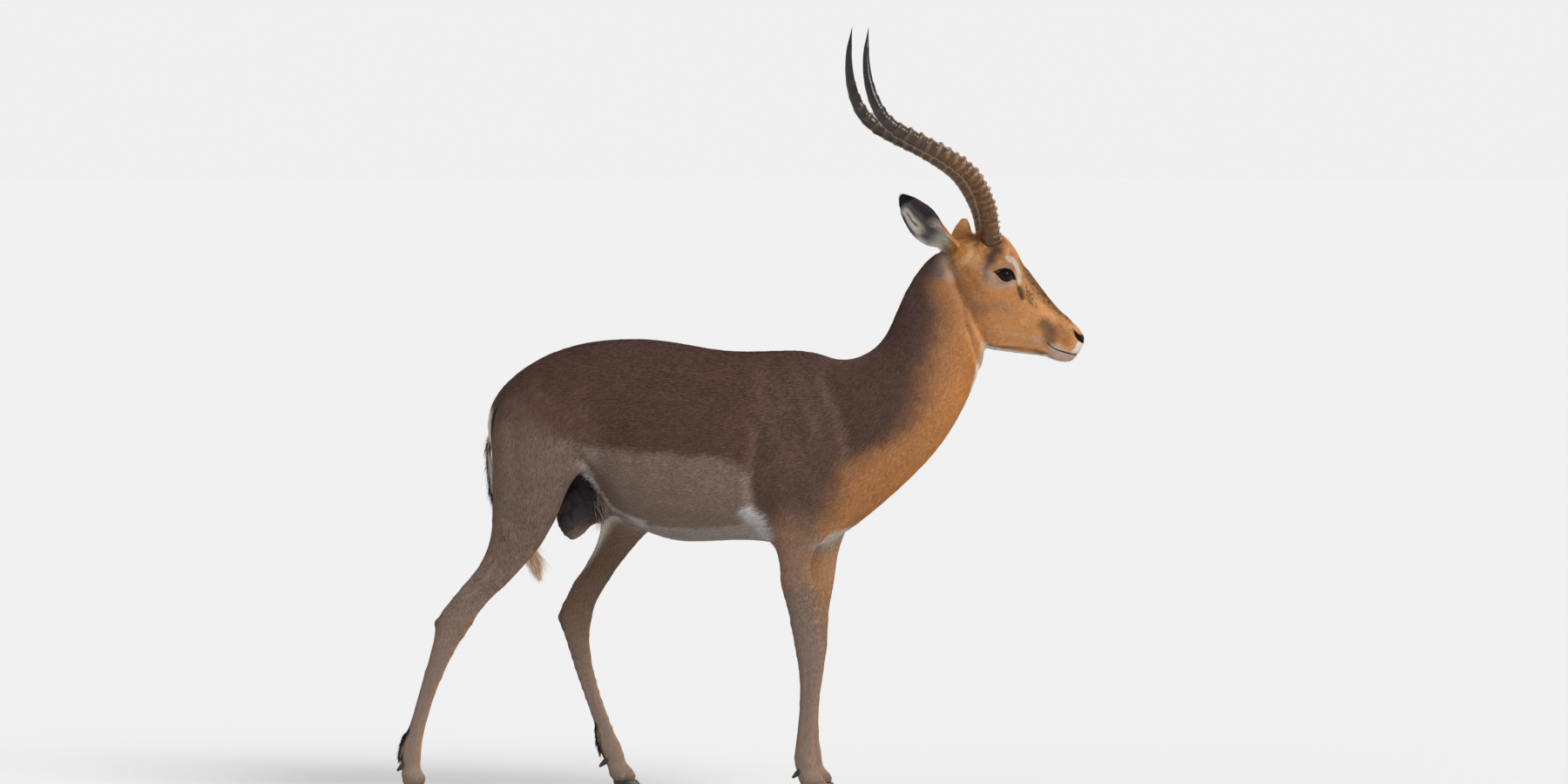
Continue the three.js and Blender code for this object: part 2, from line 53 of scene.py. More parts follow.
def say(stage):
    print("impala:", stage)


# Arrays in place of mesh corners, which is quick enough for a whole hide

def placesOf(mesh):
    flat = np.empty(len(mesh.vertices) * 3, np.float32)
    mesh.vertices.foreach_get("co", flat)
    return flat.reshape(-1, 3).astype(float)


def putPlaces(mesh, places):
    mesh.vertices.foreach_set("co", places.astype(np.float32).ravel())
    mesh.update()


def normalsOf(mesh):
    flat = np.empty(len(mesh.vertices) * 3, np.float32)
    mesh.vertex_normals.foreach_get("vector", flat)
    return flat.reshape(-1, 3).astype(float)


def edgesOf(mesh):
    flat = np.empty(len(mesh.edges) * 2, np.int32)
    mesh.edges.foreach_get("vertices", flat)
    return flat.reshape(-1, 2)


def store(mesh, name, kind, values):
    # an attribute at each corner of a mesh; a colour gets its fourth number here
    if kind == "FLOAT_COLOR":
        values = np.column_stack([values, np.ones(len(values))])
    mark = mesh.attributes.get(name) or mesh.attributes.new(name, kind, "POINT")
    key = {"FLOAT": "value", "FLOAT_VECTOR": "vector", "FLOAT_COLOR": "color"}[kind]
    mark.data.foreach_set(key, np.asarray(values, np.float32).ravel())


def unit(v):
    v = np.asarray(v, float)
    return v / np.maximum(np.linalg.norm(v, axis=-1, keepdims=True), 1e-12)


def ease(low, high, x):
    t = np.clip((x - low) / (high - low), 0, 1)
    return t * t * (3 - 2 * t)


def evened(values, edges, rounds, share=0.5):
    # values at the corners, each drawn towards its neighbours' mean
    values = np.array(values, float)
    flat = values.reshape(len(values), -1)
    a, b = edges[:, 0], edges[:, 1]
    count = np.maximum(np.bincount(a, minlength=len(flat)) + np.bincount(b, minlength=len(flat)), 1)
    share = np.broadcast_to(np.asarray(share, float), (len(flat),))
    for _ in range(rounds):
        for k in range(flat.shape[1]):
            col = flat[:, k]
            near = (np.bincount(a, col[b], len(col)) + np.bincount(b, col[a], len(col))) / count
            flat[:, k] = col + share * (near - col)
    return flat.reshape(values.shape)


def gapTo(places, point):
    return np.linalg.norm(places - point, axis=1)


def wander(places, size, seed=0.0):
    # slow random waves, -1 to 1, over lengths of about size metres
    shift = Vector((seed, seed * 1.7, -seed))
    return np.array([noise.noise(Vector(p) / size + shift) for p in places])


def lineGap(points, line):
    # distance from each point to a broken line, and how far along it, 0 to 1
    points, line = np.asarray(points, float), np.asarray(line, float)
    best, where = np.full(len(points), 1e9), np.zeros(len(points))
    for k in range(len(line) - 1):
        a, d = line[k], line[k + 1] - line[k]
        t = np.clip(((points - a) @ d) / max(d @ d, 1e-12), 0, 1)
        gap = np.linalg.norm(points - a - t[:, None] * d, axis=1)
        near = gap < best
        best[near], where[near] = gap[near], (k + t[near]) / (len(line) - 1)
    return best, where


def newPiece(name, mesh, material=None):
    piece = bpy.data.objects.new(name, mesh)
    bpy.context.scene.collection.objects.link(piece)
    if material:
        mesh.materials.clear()
        mesh.materials.append(material)
    return piece


def finished(piece):
    # the piece's mesh with its modifiers worked in
    depth = bpy.context.evaluated_depsgraph_get()
    mesh = bpy.data.meshes.new_from_object(piece.evaluated_get(depth))
    piece.modifiers.clear()
    old, piece.data = piece.data, mesh
    mesh.name = piece.name
    bpy.data.meshes.remove(old)
    return mesh


def triangles(mesh):
    return sum(len(p.vertices) - 2 for p in mesh.polygons)


def smooth(mesh):
    for p in mesh.polygons:
        p.use_smooth = True
    return mesh


def toMesh(made, mesh):
    # what was made, handed to a mesh, or to a new one of that name
    if isinstance(mesh, str):
        mesh = bpy.data.meshes.new(mesh)
    made.to_mesh(mesh)
    made.free()
    return mesh


def shellOf(name, places, faces, mark, marks, merged=0.0):
    # a smooth closed mesh, its faces pointing outwards, with a vector kept at each corner
    mesh = bpy.data.meshes.new(name)
    mesh.from_pydata([list(p) for p in places], [], faces)
    store(mesh, mark, "FLOAT_VECTOR", marks)
    made = bmesh.new()
    made.from_mesh(mesh)
    if merged:
        bmesh.ops.remove_doubles(made, verts=made.verts, dist=merged)
    bmesh.ops.recalc_face_normals(made, faces=made.faces)
    return smooth(toMesh(made, mesh))


def voxelled(piece, cell):
    # the piece's outer surface, remade in even cells
    remesh = piece.modifiers.new("surface", "REMESH")
    remesh.mode, remesh.voxel_size = "VOXEL", cell
    return finished(piece)


def solidOf(node, swell=0.0):
    # a closed copy of a solid, merged, and swollen by a hair
    solid = bmesh.new()
    solid.from_mesh(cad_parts[node].data)
    bmesh.ops.remove_doubles(solid, verts=solid.verts, dist=1e-5)
    solid.normal_update()
    for v in solid.verts:
        v.co += v.normal * swell
    return solid


def sliceOf(node, height):
    # middle, area and half sizes of the solid's level section
    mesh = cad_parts[node].data
    co = placesOf(mesh)
    tri = np.array([p.vertices[:] for p in mesh.polygons])
    ends = []
    for i, j in ((0, 1), (1, 2), (2, 0)):
        a, b = co[tri[:, i]], co[tri[:, j]]
        za, zb = a[:, 2] - height, b[:, 2] - height
        cut = (za * zb) < 0
        t = np.where(cut, za / np.where(cut, za - zb, 1), 0)
        ends.append((cut, a + t[:, None] * (b - a)))
    lines = []
    for i, j in ((0, 1), (1, 2), (2, 0)):
        both = ends[i][0] & ends[j][0]
        lines.append(np.stack([ends[i][1][both], ends[j][1][both]], 1))
    lines = np.concatenate(lines)
    length = np.linalg.norm(lines[:, 0] - lines[:, 1], axis=1)
    middle = (lines.mean(1) * length[:, None]).sum(0) / max(length.sum(), 1e-9)
    a, b = lines[:, 0] - middle, lines[:, 1] - middle
    area = 0.5 * np.abs(a[:, 0] * b[:, 1] - a[:, 1] * b[:, 0]).sum()
    half = np.abs(lines.reshape(-1, 3) - middle).max(0)
    return middle, area, half


def tube(rings, around):
    # a closed upright tube through level rings of (middle, half length, half width)
    made = bmesh.new()
    loops = []
    for middle, long, wide in rings:
        ahead, left = Vector((long, 0, 0)), Vector((0, wide, 0))
        turn = [2 * math.pi * k / around for k in range(around)]
        loops.append([made.verts.new(middle + (ahead * math.cos(t) + left * math.sin(t))) for t in turn])
    for a, b in zip(loops, loops[1:]):
        for k in range(around):
            made.faces.new((a[k], a[(k + 1) % around], b[(k + 1) % around], b[k]))
    made.faces.new(loops[0][::-1])
    made.faces.new(loops[-1])
    bmesh.ops.recalc_face_normals(made, faces=made.faces)
    return made


# The head's own measures: ahead, up and to its left of the point between the eyes, in mm

eyeAt = {side: np.array(sum(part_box("eye_" + side), Vector())) / 2 for side in sides}
eyeRadius = float((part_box("eye_left")[1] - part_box("eye_left")[0]).z / 2)
faceMiddle = (eyeAt["left"] + eyeAt["right"]) / 2
faceLeft = unit((eyeAt["left"] - eyeAt["right"]) * (1, 1, 0))
faceAhead = np.array([faceLeft[1], -faceLeft[0], 0])


def inFace(places):
    away = (places - faceMiddle) / mm
    return np.column_stack([away @ faceAhead, away[:, 2], away @ faceLeft])


def halfFace(places):
    # ahead, up and outwards, alike on both sides of the head
    face = inFace(places)
    face[:, 2] = np.abs(face[:, 2])
    return face


def fromFace(ahead, up, left):
    return faceMiddle + (faceAhead * ahead + upwards * up + faceLeft * left) * mm


def isOn(places, side):
    return ((places - faceMiddle) @ faceLeft > 0) == (side == "left")


def fromEyes(places):
    return np.minimum(*[gapTo(places, eyeAt[side]) for side in sides])


# One skin over all the flesh

skinWork = {
    "cell": 0.0147,        # of the new surface, before the zoom
    "headZoom": 5.05,      # times finer on the head
    "zoomReach": 0.185,    # of that, from the head's middle
    "headMiddle": (10, -30, 0),
    "longest": (0.05, 0.025),   # edges of the solids, cut before they are magnified
    "rounds": 60,          # of smoothing
    "gapRounds": 130,
    "headShare": 0.10,     # of that on the head
    "legShare": 0.07,
    "bodyShare": 0.5,
    "kneeHeight": 0.36,    # below which the legs are cut finer and take the solids' outline again
    "coatDepth": {"trunk": 3.5, "neck": 3.5, "head": 1.2, "ear": 0.6, "foreleg": 1.6,
                  "hindleg": 2.2, "tail": 3.0, "scrotum": 0.8, "sheath": 1.0},
}


headMiddle = fromFace(*skinWork["headMiddle"])


def magnified(places, back=False):
    # the head drawn out from its middle, so that it gets finer cells, or shrunk back
    zoom, reach = skinWork["headZoom"], skinWork["zoomReach"]
    near, inner, shift = (reach * zoom, 1 / zoom, -1) if back else (reach, zoom, 1)
    away = places - headMiddle
    r = np.linalg.norm(away, axis=1, keepdims=True)
    outer = (r + shift * (zoom - 1) * reach) / np.maximum(r, 1e-9)
    return headMiddle + away * np.where(r < near, inner, outer)


def earRoot(side):
    # the ear's lowest part, closed, so that the head is whole under it
    solid = solidOf("ear_" + side)
    head = Vector(headMiddle)
    reach = min((v.co - head).length for v in solid.verts) + 0.026
    far = [v for v in solid.verts if (v.co - head).length > reach]
    bmesh.ops.delete(solid, geom=far, context="VERTS")
    hull = bmesh.ops.convex_hull(solid, input=solid.verts)
    bmesh.ops.delete(solid, geom=hull["geom_interior"], context="VERTS")
    bmesh.ops.recalc_face_normals(solid, faces=solid.faces)
    if side == "right":
        inwards = head - sum((v.co for v in solid.verts), Vector()) / len(solid.verts)
        bmesh.ops.translate(solid, vec=inwards.normalized() * 0.010, verts=solid.verts)
    return solid


def fleshMesh():
    joined = bmesh.new()
    parts = [solidOf(n, 0.0004) for n in fleshNodes if n.split("_")[0] not in ("tail", "ear")]
    parts += [earRoot("left"), earRoot("right")]
    for side in eyeAt:
        ball = bmesh.new()
        bmesh.ops.create_icosphere(ball, subdivisions=3, radius=eyeRadius - 0.0005)
        bmesh.ops.translate(ball, vec=Vector(eyeAt[side]), verts=ball.verts)
        parts.append(ball)
    for part in parts:
        one = toMesh(part, "part")
        joined.from_mesh(one)
        bpy.data.meshes.remove(one)
    for longest in skinWork["longest"]:
        long = [e for e in joined.edges if e.calc_length() > longest]
        bmesh.ops.subdivide_edges(joined, edges=long, cuts=1)
    bmesh.ops.triangulate(joined, faces=joined.faces)
    return toMesh(joined, "flesh")


def nodeTree(names):
    # a search tree over solids, and the name of the solid each face belongs to
    corners, faces, owner = [], [], []
    for k, name in enumerate(names):
        first = len(corners)
        corners += [v.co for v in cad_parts[name].data.vertices]
        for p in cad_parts[name].data.polygons:
            faces.append([first + i for i in p.vertices])
            owner.append(k)
    return BVHTree.FromPolygons(corners, faces), np.array(owner)


say("building the skin")
skinMesh = fleshMesh()
putPlaces(skinMesh, magnified(placesOf(skinMesh)))
skin = newPiece("skin", skinMesh)
skinMesh = voxelled(skin, skinWork["cell"])
putPlaces(skinMesh, magnified(placesOf(skinMesh), back=True))


def wholeOnly(mesh):
    # drops the specks inside, and keeps the largest closed surface
    made = bmesh.new()
    made.from_mesh(mesh)
    left, groups = set(made.verts), []
    while left:
        reached, front = set(), [left.pop()]
        while front:
            v = front.pop()
            reached.add(v)
            for e in v.link_edges:
                o = e.other_vert(v)
                if o in left:
                    left.remove(o)
                    front.append(o)
        groups.append(reached)
    groups.sort(key=len)
    bmesh.ops.delete(made, geom=[v for g in groups[:-1] for v in g], context="VERTS")
    toMesh(made, mesh)


wholeOnly(skinMesh)
say(f"skin surface, {len(skinMesh.vertices)} corners")

tree, owner = nodeTree(fleshNodes)
kindOf = np.array([fleshKinds.index(n.split("_")[0]) for n in fleshNodes])


def kindsOf(places):
    # the nearest spots on the solids, and the kind of part each is on
    found = [tree.find_nearest(Vector(p)) for p in places]
    return np.array([f[0] for f in found]), kindOf[owner[[f[2] for f in found]]]


def isKind(kind, *names):
    return np.isin(kind, [fleshKinds.index(k) for k in names])


def smoothSkin():
    # rounds off the solids' facets, then sets the skin a coat's depth inside them
    places, edges = placesOf(skinMesh), edgesOf(skinMesh)
    spot, kind = kindsOf(places)
    head = isKind(kind, "head", "ear")
    slim = isKind(kind, "foreleg", "hindleg") & (places[:, 2] < 0.45)
    slim |= isKind(kind, "tail", "scrotum", "sheath")
    share = np.where(head, skinWork["headShare"], np.where(slim, skinWork["legShare"], skinWork["bodyShare"]))
    share = evened(share, edges, 12)
    places = evened(places, edges, skinWork["rounds"], share)
    putPlaces(skinMesh, places)
    normals = normalsOf(skinMesh)
    spot, kind = kindsOf(places)
    gap = ((spot - places) * normals).sum(1)
    loose = (fromEyes(places) < eyeRadius + 0.006) | isKind(kind, "ear", "tail")
    gap[loose] = 0
    gap = evened(np.clip(gap, -0.012, 0.012), edges, skinWork["gapRounds"], share)
    depth = np.array([skinWork["coatDepth"][k] for k in fleshKinds])[kind] * mm
    depth[loose] = 0
    depth = evened(depth, edges, 10) * ease(0.02, 0.08, places[:, 2])
    putPlaces(skinMesh, places + normals * (gap - depth)[:, None])


smoothSkin()


# The ears, thin leaves on the head

earWork = {
    "axis": {"right": (-0.75, 0.665, 0.17), "left": (0.17, 0.34, 0.9)},   # ahead, up, outwards
    "open": {"right": (-0.15, -0.3, 0.95), "left": (0.8, -0.4, 0.1)},
    "thinner": 0.5,        # mm off each face, where the hair lies
    "ridges": 5,           # folds down the inside
    "ridgeHeight": 1.1,
    "twist": {"right": 42, "left": 0},     # degrees, of the root, that turn the opening back
    "twisted": (0.66, 0.10),               # share of the length where the twist starts and is whole
    "droop": {"right": 0, "left": 6},      # mm, of the tip
    "sink": {"right": 15, "left": 0},      # mm, of the root into the head
}
sideSign = {"left": 1, "right": -1}


def earAxes(side):
    # along, opening and across, as frame directions
    def turned(v):
        return unit(faceAhead * v[0] + upwards * v[1] + faceLeft * v[2] * sideSign[side])
    along = turned(earWork["axis"][side])
    opening = turned(earWork["open"][side])
    opening = unit(opening - along * (opening @ along))
    across = np.cross(along, opening)
    if across @ (faceAhead + upwards) < 0:
        across = -across
    return along, opening, across


def earLine(side):
    # the ear's middle line, by its share from root to tip
    along = earAxes(side)[0]
    co = placesOf(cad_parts["ear_" + side].data)
    t = co @ along
    root = t.min() + 0.012
    way = (t - root) / (t.max() - root)
    steps = np.linspace(0.05, 0.95, 10)
    middles = np.array([co[np.abs(way - k) < 0.09].mean(0) for k in steps])
    return root, t.max() - root, steps, middles


def earFrame(side, places):
    # share from root to tip, the middle line there, and the opening and across as they have turned there
    along, opening, across = earAxes(side)
    root, length, steps, middles = earLine(side)
    way = (places @ along - root) / length
    middle = np.column_stack([np.interp(way, steps, middles[:, k]) for k in range(3)])
    turn = (math.radians(earWork["twist"][side]) * ease(*earWork["twisted"], way))[:, None]
    c, s = np.cos(turn), np.sin(turn)
    return way, middle, opening * c - across * s, across * c + opening * s


def earReach(side, way):
    # half the ear's width there, mm
    co = placesOf(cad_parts["ear_" + side].data)
    along, _, across = earAxes(side)
    root, length, steps, middles = earLine(side)
    own = (co @ along - root) / length
    middle = np.column_stack([np.interp(own, steps, middles[:, k]) for k in range(3)])
    wide = np.abs((co - middle) @ across) / mm
    return np.interp(way, steps, [wide[np.abs(own - k) < 0.09].max() for k in steps])


def earMeasures(side, places, normals):
    # 0 to 1 from root to tip, mm across (to the front rim), and how far it faces the opening
    way, middle, opening, across = earFrame(side, places)
    return way, ((places - middle) * across).sum(1) / mm, (normals * opening).sum(1)


def earMesh(side):
    solid = solidOf("ear_" + side)
    for _ in range(2):
        long = [e for e in solid.edges if e.calc_length() > 0.0035]
        bmesh.ops.subdivide_edges(solid, edges=long, cuts=1)
        bmesh.ops.triangulate(solid, faces=solid.faces)
    mesh = toMesh(solid, "ear")
    places = evened(placesOf(mesh), edgesOf(mesh), 5, 0.5)
    putPlaces(mesh, places)
    normals = normalsOf(mesh)
    along, opening, across = earAxes(side)
    way, middle, turnedOpening, turnedAcross = earFrame(side, places)
    away = places - middle
    wide, deep, far = away @ across, away @ opening, away @ along
    inner = ease(0.0, 0.5, normals @ opening)
    ridge = np.cos(wide / np.abs(wide).max() * math.pi * earWork["ridges"] * (0.8 + 0.5 * way))
    lift = inner * ridge * earWork["ridgeHeight"] * ease(0.05, 0.25, way) * (1 - ease(0.7, 0.95, way))
    lift -= earWork["thinner"]
    wide, deep = wide + normals @ across * lift * mm, deep + normals @ opening * lift * mm
    places = middle + turnedAcross * wide[:, None] + turnedOpening * deep[:, None] + along * far[:, None]
    places[:, 2] -= earWork["droop"][side] * mm * np.clip(way, 0, 1)
    places -= np.outer(earWork["sink"][side] * mm * ease(0.26, 0.0, way), opening)
    putPlaces(mesh, places)
    return mesh


def tailMesh():
    # the tail's own flesh, thin under its hair
    low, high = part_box("tail")
    rings = []
    for share in np.linspace(0.015, 0.93, 70):
        height = high.z - share * (high.z - low.z)
        middle, _, half = sliceOf("tail", height)
        thin = np.interp(share, (0, 0.1, 0.45, 0.8, 0.93), (0.95, 0.8, 0.7, 0.38, 0.2))
        slim = max(min(half[0], half[1] * 0.8) * thin * np.interp(height, (0.58, 0.64), (1, 0.62)), 0.0028)
        middle = middle + (np.interp(height, (0.57, 0.62, 0.70, 0.735, 0.775), (0, 6, 8, 12, 17)) * mm, 0, 0)
        rings.append((Vector(middle), slim, max(half[1] * thin, 0.0034)))
    made = tube(rings, 20)
    bmesh.ops.triangulate(made, faces=made.faces)
    return toMesh(made, "tail")


def join(name, mesh):
    global skinMesh
    tool = newPiece(name, mesh)
    union = skin.modifiers.new(name, "BOOLEAN")
    union.operation, union.solver, union.object = "UNION", "MANIFOLD", tool
    skinMesh = finished(skin)
    bpy.data.objects.remove(tool)


for side in sides:
    join("earTool", earMesh(side))
join("tailTool", tailMesh())
say(f"ears and tail joined, {len(skinMesh.vertices)} corners")


def refined(chosen):
    # cells cut finer where chosen(middles) is true
    made = bmesh.new()
    made.from_mesh(skinMesh)
    bmesh.ops.triangulate(made, faces=[f for f in made.faces if len(f.verts) > 4])
    pick = chosen(np.array([f.calc_center_median() for f in made.faces]))
    made.faces.ensure_lookup_table()
    cut = {e for k in np.nonzero(pick)[0] for e in made.faces[k].edges}
    bmesh.ops.subdivide_edges(made, edges=list(cut), cuts=1, use_grid_fill=True)
    bmesh.ops.triangulate(made, faces=[f for f in made.faces if len(f.verts) > 4])
    toMesh(made, skinMesh)


def fineWork(middles):
    face = inFace(middles)
    nearMouth = (face[:, 0] > 90) & (face[:, 1] < -94) & (face[:, 0] < 175)
    return (fromEyes(middles) < 0.025) | nearMouth


def lowLegs(middles):
    return middles[:, 2] < skinWork["kneeHeight"]


def rumpHere(middles):
    return (middles[:, 0] < -0.40) & (middles[:, 2] > 0.5)


def underHere(middles):
    low, high = (np.array(v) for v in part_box("scrotum"))
    return ((middles > low - 0.006) & (middles < high + (0.006, 0.006, -0.012))).all(1)


for chosen in (fineWork, lowLegs, underHere, underHere, rumpHere):
    refined(chosen)


def softenSeams():
    # where the ears join the head, round the right ear's root and where cells were cut
    places, edges = placesOf(skinMesh), edgesOf(skinMesh)
    kind = kindsOf(places)[1]
    seam = evened(isKind(kind, "ear").astype(float), edges, 14)
    seam = np.clip(4 * seam * (1 - seam), 0, 1) * (gapTo(places, headMiddle) < 0.16)
    fresh = (lowLegs(places) | fineWork(places)) & ~isKind(kind, "ear", "tail")
    places = evened(places, edges, 6, np.maximum(seam, fresh * 0.35) * 0.6)
    stub = ease(0.26, 0.13, earFrame("right", places)[0])
    stub = stub * ease(0.050, 0.032, gapTo(places, earLine("right")[3][0]))
    putPlaces(skinMesh, evened(places, edges, 70, evened(stub, edges, 6) * 0.65))


def settleLegs():
    # the lower legs, cut finer, take the solids' outline again
    places, edges = placesOf(skinMesh), edgesOf(skinMesh)
    spot, kind = kindsOf(places)
    knee = skinWork["kneeHeight"]
    share = ease(knee + 0.08, knee, places[:, 2]) * isKind(kind, "foreleg", "hindleg")
    places = places + (spot - places) * share[:, None]
    places = evened(places, edges, 9, share * 0.6)
    putPlaces(skinMesh, places)
    normals = evened(normalsOf(skinMesh), edges, 2)
    spot, kind = kindsOf(places)
    gap = np.clip(((spot - places) * normals).sum(1), -0.006, 0.006)
    gap = evened(gap, edges, 12, share)
    depth = np.array([skinWork["coatDepth"][k] for k in fleshKinds])[kind] * mm
    depth = depth * ease(0.02, 0.08, places[:, 2])
    putPlaces(skinMesh, places + normals * ((gap - depth) * share)[:, None])


softenSeams()
settleLegs()
say(f"skin refined, {len(skinMesh.vertices)} corners, {len(skinMesh.polygons)} faces")


# Forms pressed into the skin, or raised on it

def pressed(places, normals, measures, line, reach, amount, share=1):
    # places moved along their normals by amount mm, within reach of a line
    gap = lineGap(measures, line)[0]
    return places + normals * (amount * mm * np.exp(-(gap / reach) ** 2) * share)[:, None]


faceForms = (
    # line (ahead, up, outwards), reach, raised by
    ("cheekbone", ((30, -46, 46), (3, -43, 52), (-23, -36, 56), (-45, -20, 56), (-66, 8, 52)), 8, 1.7),
    ("under the cheekbone", ((20, -66, 46), (-15, -62, 52), (-45, -45, 54)), 12, -1.6),
    ("brow", ((-26, 24, 55), (-6, 31, 55), (14, 27, 52), (28, 12, 48)), 6, 2.2),
    ("temple", ((-46, 34, 50), (-38, 22, 54)), 11, -2.6),
    ("tear pit", ((30, -16, 47), (38, -32, 43), (47, -50, 38)), 5.5, -2.4),
    ("side of the nose", ((58, -52, 34), (84, -78, 30), (106, -96, 27)), 9, -1.6),
    ("cheek", ((-34, -78, 46), (-20, -92, 42)), 24, 2.2),
    ("jaw's corner", ((-78, -70, 47), (-66, -100, 42), (-40, -122, 30), (-10, -130, 22)), 8, 1.0),
    ("behind the jaw", ((-96, -60, 44), (-86, -96, 40), (-60, -128, 30)), 11, -0.9),
    ("horn's seat", ((-2, 50, 43), (-16, 52, 46), (-32, 52, 45), (-42, 60, 36)), 9, 6.0),
    ("horn's front seat", ((2, 64, 26), (4, 60, 34), (-2, 50, 43)), 8, 4.0),
    ("crown", ((-66, 72, 6), (-40, 75, 5), (-8, 76, 4)), 17, 3.5),
    ("jaw's edge", ((80, -152, 13), (45, -149, 13), (8, -142, 16), (-18, -136, 20)), 6, 2.4),
    ("above the jaw's edge", ((84, -140, 22), (45, -132, 25), (8, -126, 28)), 7, -1.2),
    ("lip pad", ((112, -118, 28), (130, -128, 26)), 9, 1.5),
    ("muzzle hollow", ((86, -100, 31), (94, -116, 29)), 7, -1.2),
    ("bridge", ((46, 0, 10), (70, -26, 9), (100, -58, 8), (125, -84, 8)), 14, 4.6),
    ("chin", ((104, -158, 10), (120, -162, 9), (134, -161, 6)), 9, 3.6),
    ("forehead", ((-30, 74, 8), (0, 66, 8), (24, 36, 8)), 16, 1.8),
)
bodyForms = (
    # side view line (ahead of the middle, above the floor) mm, reach, raised by
    ("hip bone", ((-350, 836), (-318, 842)), 24, 3.0),
    ("rump's hollow", ((-405, 800), (-380, 812)), 26, -2.0),
    ("pin bone", ((-452, 786), (-446, 770)), 18, 2.0),
    ("thigh's back groove", ((-440, 752), (-428, 690), (-424, 630), (-436, 560)), 16, -2.6),
    ("thigh", ((-372, 735), (-372, 650), (-398, 590)), 34, 2.6),
    ("stifle", ((-318, 640), (-330, 610)), 22, 2.4),
    ("stifle's groove", ((-300, 700), (-345, 655), (-385, 575)), 13, -1.4),
    ("flank's hollow", ((-285, 770), (-262, 730)), 34, -3.4),
    ("flank's fold", ((-292, 690), (-262, 655), (-222, 612)), 12, 2.0),
    ("shoulder's back edge", ((52, 735), (44, 680), (36, 628), (40, 592)), 15, -2.8),
    ("upper arm", ((92, 690), (86, 640), (92, 600)), 26, 2.6),
    ("shoulder blade's ridge", ((96, 862), (126, 800), (150, 730)), 15, 1.8),
    ("behind the blade", ((52, 850), (70, 790), (90, 730)), 20, -1.6),
    ("shoulder's point", ((196, 668), (206, 646)), 24, 2.4),
    ("before the shoulder", ((176, 832), (206, 770), (226, 712)), 15, -2.2),
    ("elbow", ((84, 582), (92, 566)), 14, 2.0),
    ("neck's side groove", ((405, 930), (372, 850), (330, 770), (286, 700)), 14, -1.6),
    ("neck's side muscle", ((408, 1000), (362, 900), (308, 820)), 26, 1.4),
    ("last rib", ((-216, 812), (-196, 740), (-166, 660)), 16, 1.0),
    ("withers", ((70, 900), (120, 902)), 20, 2.0),
)


legForms = (
    # heights, ahead of the middle in half lengths, reach (mm), raised by (mm), sideways in half widths
    ((0.275, 0.20, 0.115), -0.18, 3.4, -1.3, (-0.9, 0.9)),    # between bone and tendon
    ((0.085, 0.075), 0.1, 10, 0.6, (0,)),                     # fetlock
)
kneeForm = ((0.345, 0.325, 0.30), 0.5, 11, 1.2, (0,))
hockForm = ((0.385, 0.365), -0.9, 11, 1.2, (0,))
withersForm = ((116, 36, 880), (148, 40, 886), (176, 38, 874))
coronet = (0.078, 0.052, 3.6)     # from, whole below, raised by


def sculptLeg(places, normals, node):
    fore = node.startswith("fore")
    for heights, ahead, reach, amount, outs in (*legForms, kneeForm if fore else hockForm):
        cuts = [sliceOf(node, h) for h in heights]
        for out in outs:
            line = [middle + (half[0] * ahead, half[1] * out, 0) for middle, _, half in cuts]
            places = pressed(places, normals, places, line, reach * mm, amount)
    if fore:
        return places
    # the groove above the hock, and the tendon behind it
    mine = np.sign(places[:, 1]) == (1 if node.endswith("left") else -1)
    mine = mine * ease(0.2, 0.7, np.abs(normals[:, 1]))
    behind = ((0.52, 0.42), (0.48, 0.40), (0.44, 0.36), (0.415, 0.34))
    cuts = [(sliceOf(node, h), share) for h, share in behind]
    line = np.array([(cut[0][0] - cut[2][0] * share, 0, cut[0][2]) for cut, share in cuts])
    places = pressed(places, normals, places * (1, 0, 1), line, 0.006, -2.6, mine)
    return pressed(places, normals, places * (1, 0, 1), line + (0.016, 0, 0), 0.010, 1.2, mine)


def sculptScrotum(places, normals):
    # a groove down its middle, folds, and a lump at its foot
    low, high = (np.array(v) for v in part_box("scrotum"))
    own = underHere(places)
    share = ((places - low) / (high - low))[own]
    deep = -3.4 * np.exp(-((share[:, 1] - 0.5) / 0.10) ** 2) * ease(0.75, 0.5, share[:, 2])
    folds = np.array([noise.noise(Vector(p * (1, 1, 1.9)) / 0.0085) for p in places[own]])
    deep += 1.3 * folds * ease(0.95, 0.75, share[:, 2])
    lump = np.linalg.norm((share - (0.46, 0.5, 0.03)) * (1, 0.8, 1.3), axis=1)
    deep += 4.0 * np.exp(-(lump / 0.13) ** 2)
    places[own] += normals[own] * (deep * mm)[:, None]


def sculpt():
    places = placesOf(skinMesh)
    normals = evened(normalsOf(skinMesh), edgesOf(skinMesh), 2)
    face = halfFace(places)
    onHead = gapTo(places, headMiddle) < 0.21
    for _, line, reach, amount in faceForms:
        places[onHead] = pressed(places[onHead], normals[onHead], face[onHead], line, reach, amount)
    side = places[:, (0, 2)] / mm
    outwards = ease(0.15, 0.7, normals[:, 1] * np.sign(places[:, 1])) * (np.abs(places[:, 1]) > 0.02)
    for _, line, reach, amount in bodyForms:
        places = pressed(places, normals, side, line, reach, amount, outwards)
    places = pressed(places, normals, places / mm, withersForm, 15, 5.5)
    for node in ("foreleg_left", "foreleg_right", "hindleg_left", "hindleg_right"):
        places = sculptLeg(places, normals, node)
    top, whole, amount = coronet
    ring = ease(top, whole, places[:, 2]) * (np.abs(normals[:, 2]) < 0.8)
    places = places + normals * (amount * mm * ring)[:, None]
    sculptScrotum(places, normals)
    putPlaces(skinMesh, places)


sculpt()

eyeWork = {
    "back": 17.0, "front": 17.6,       # mm from the middle to the corners of the lids
    "upper": 10.0, "lower": 11.0,      # to the edges of the lids
    "upperLid": 2.5, "lowerLid": 1.7,  # thickness
    "hidden": 4.0,                     # of the skin behind the eyeball's front
    "facing": (0.16, 0.10, 0.98),      # ahead, up, outwards
    "slant": -0.16,                    # of the long axis, down to the front
}


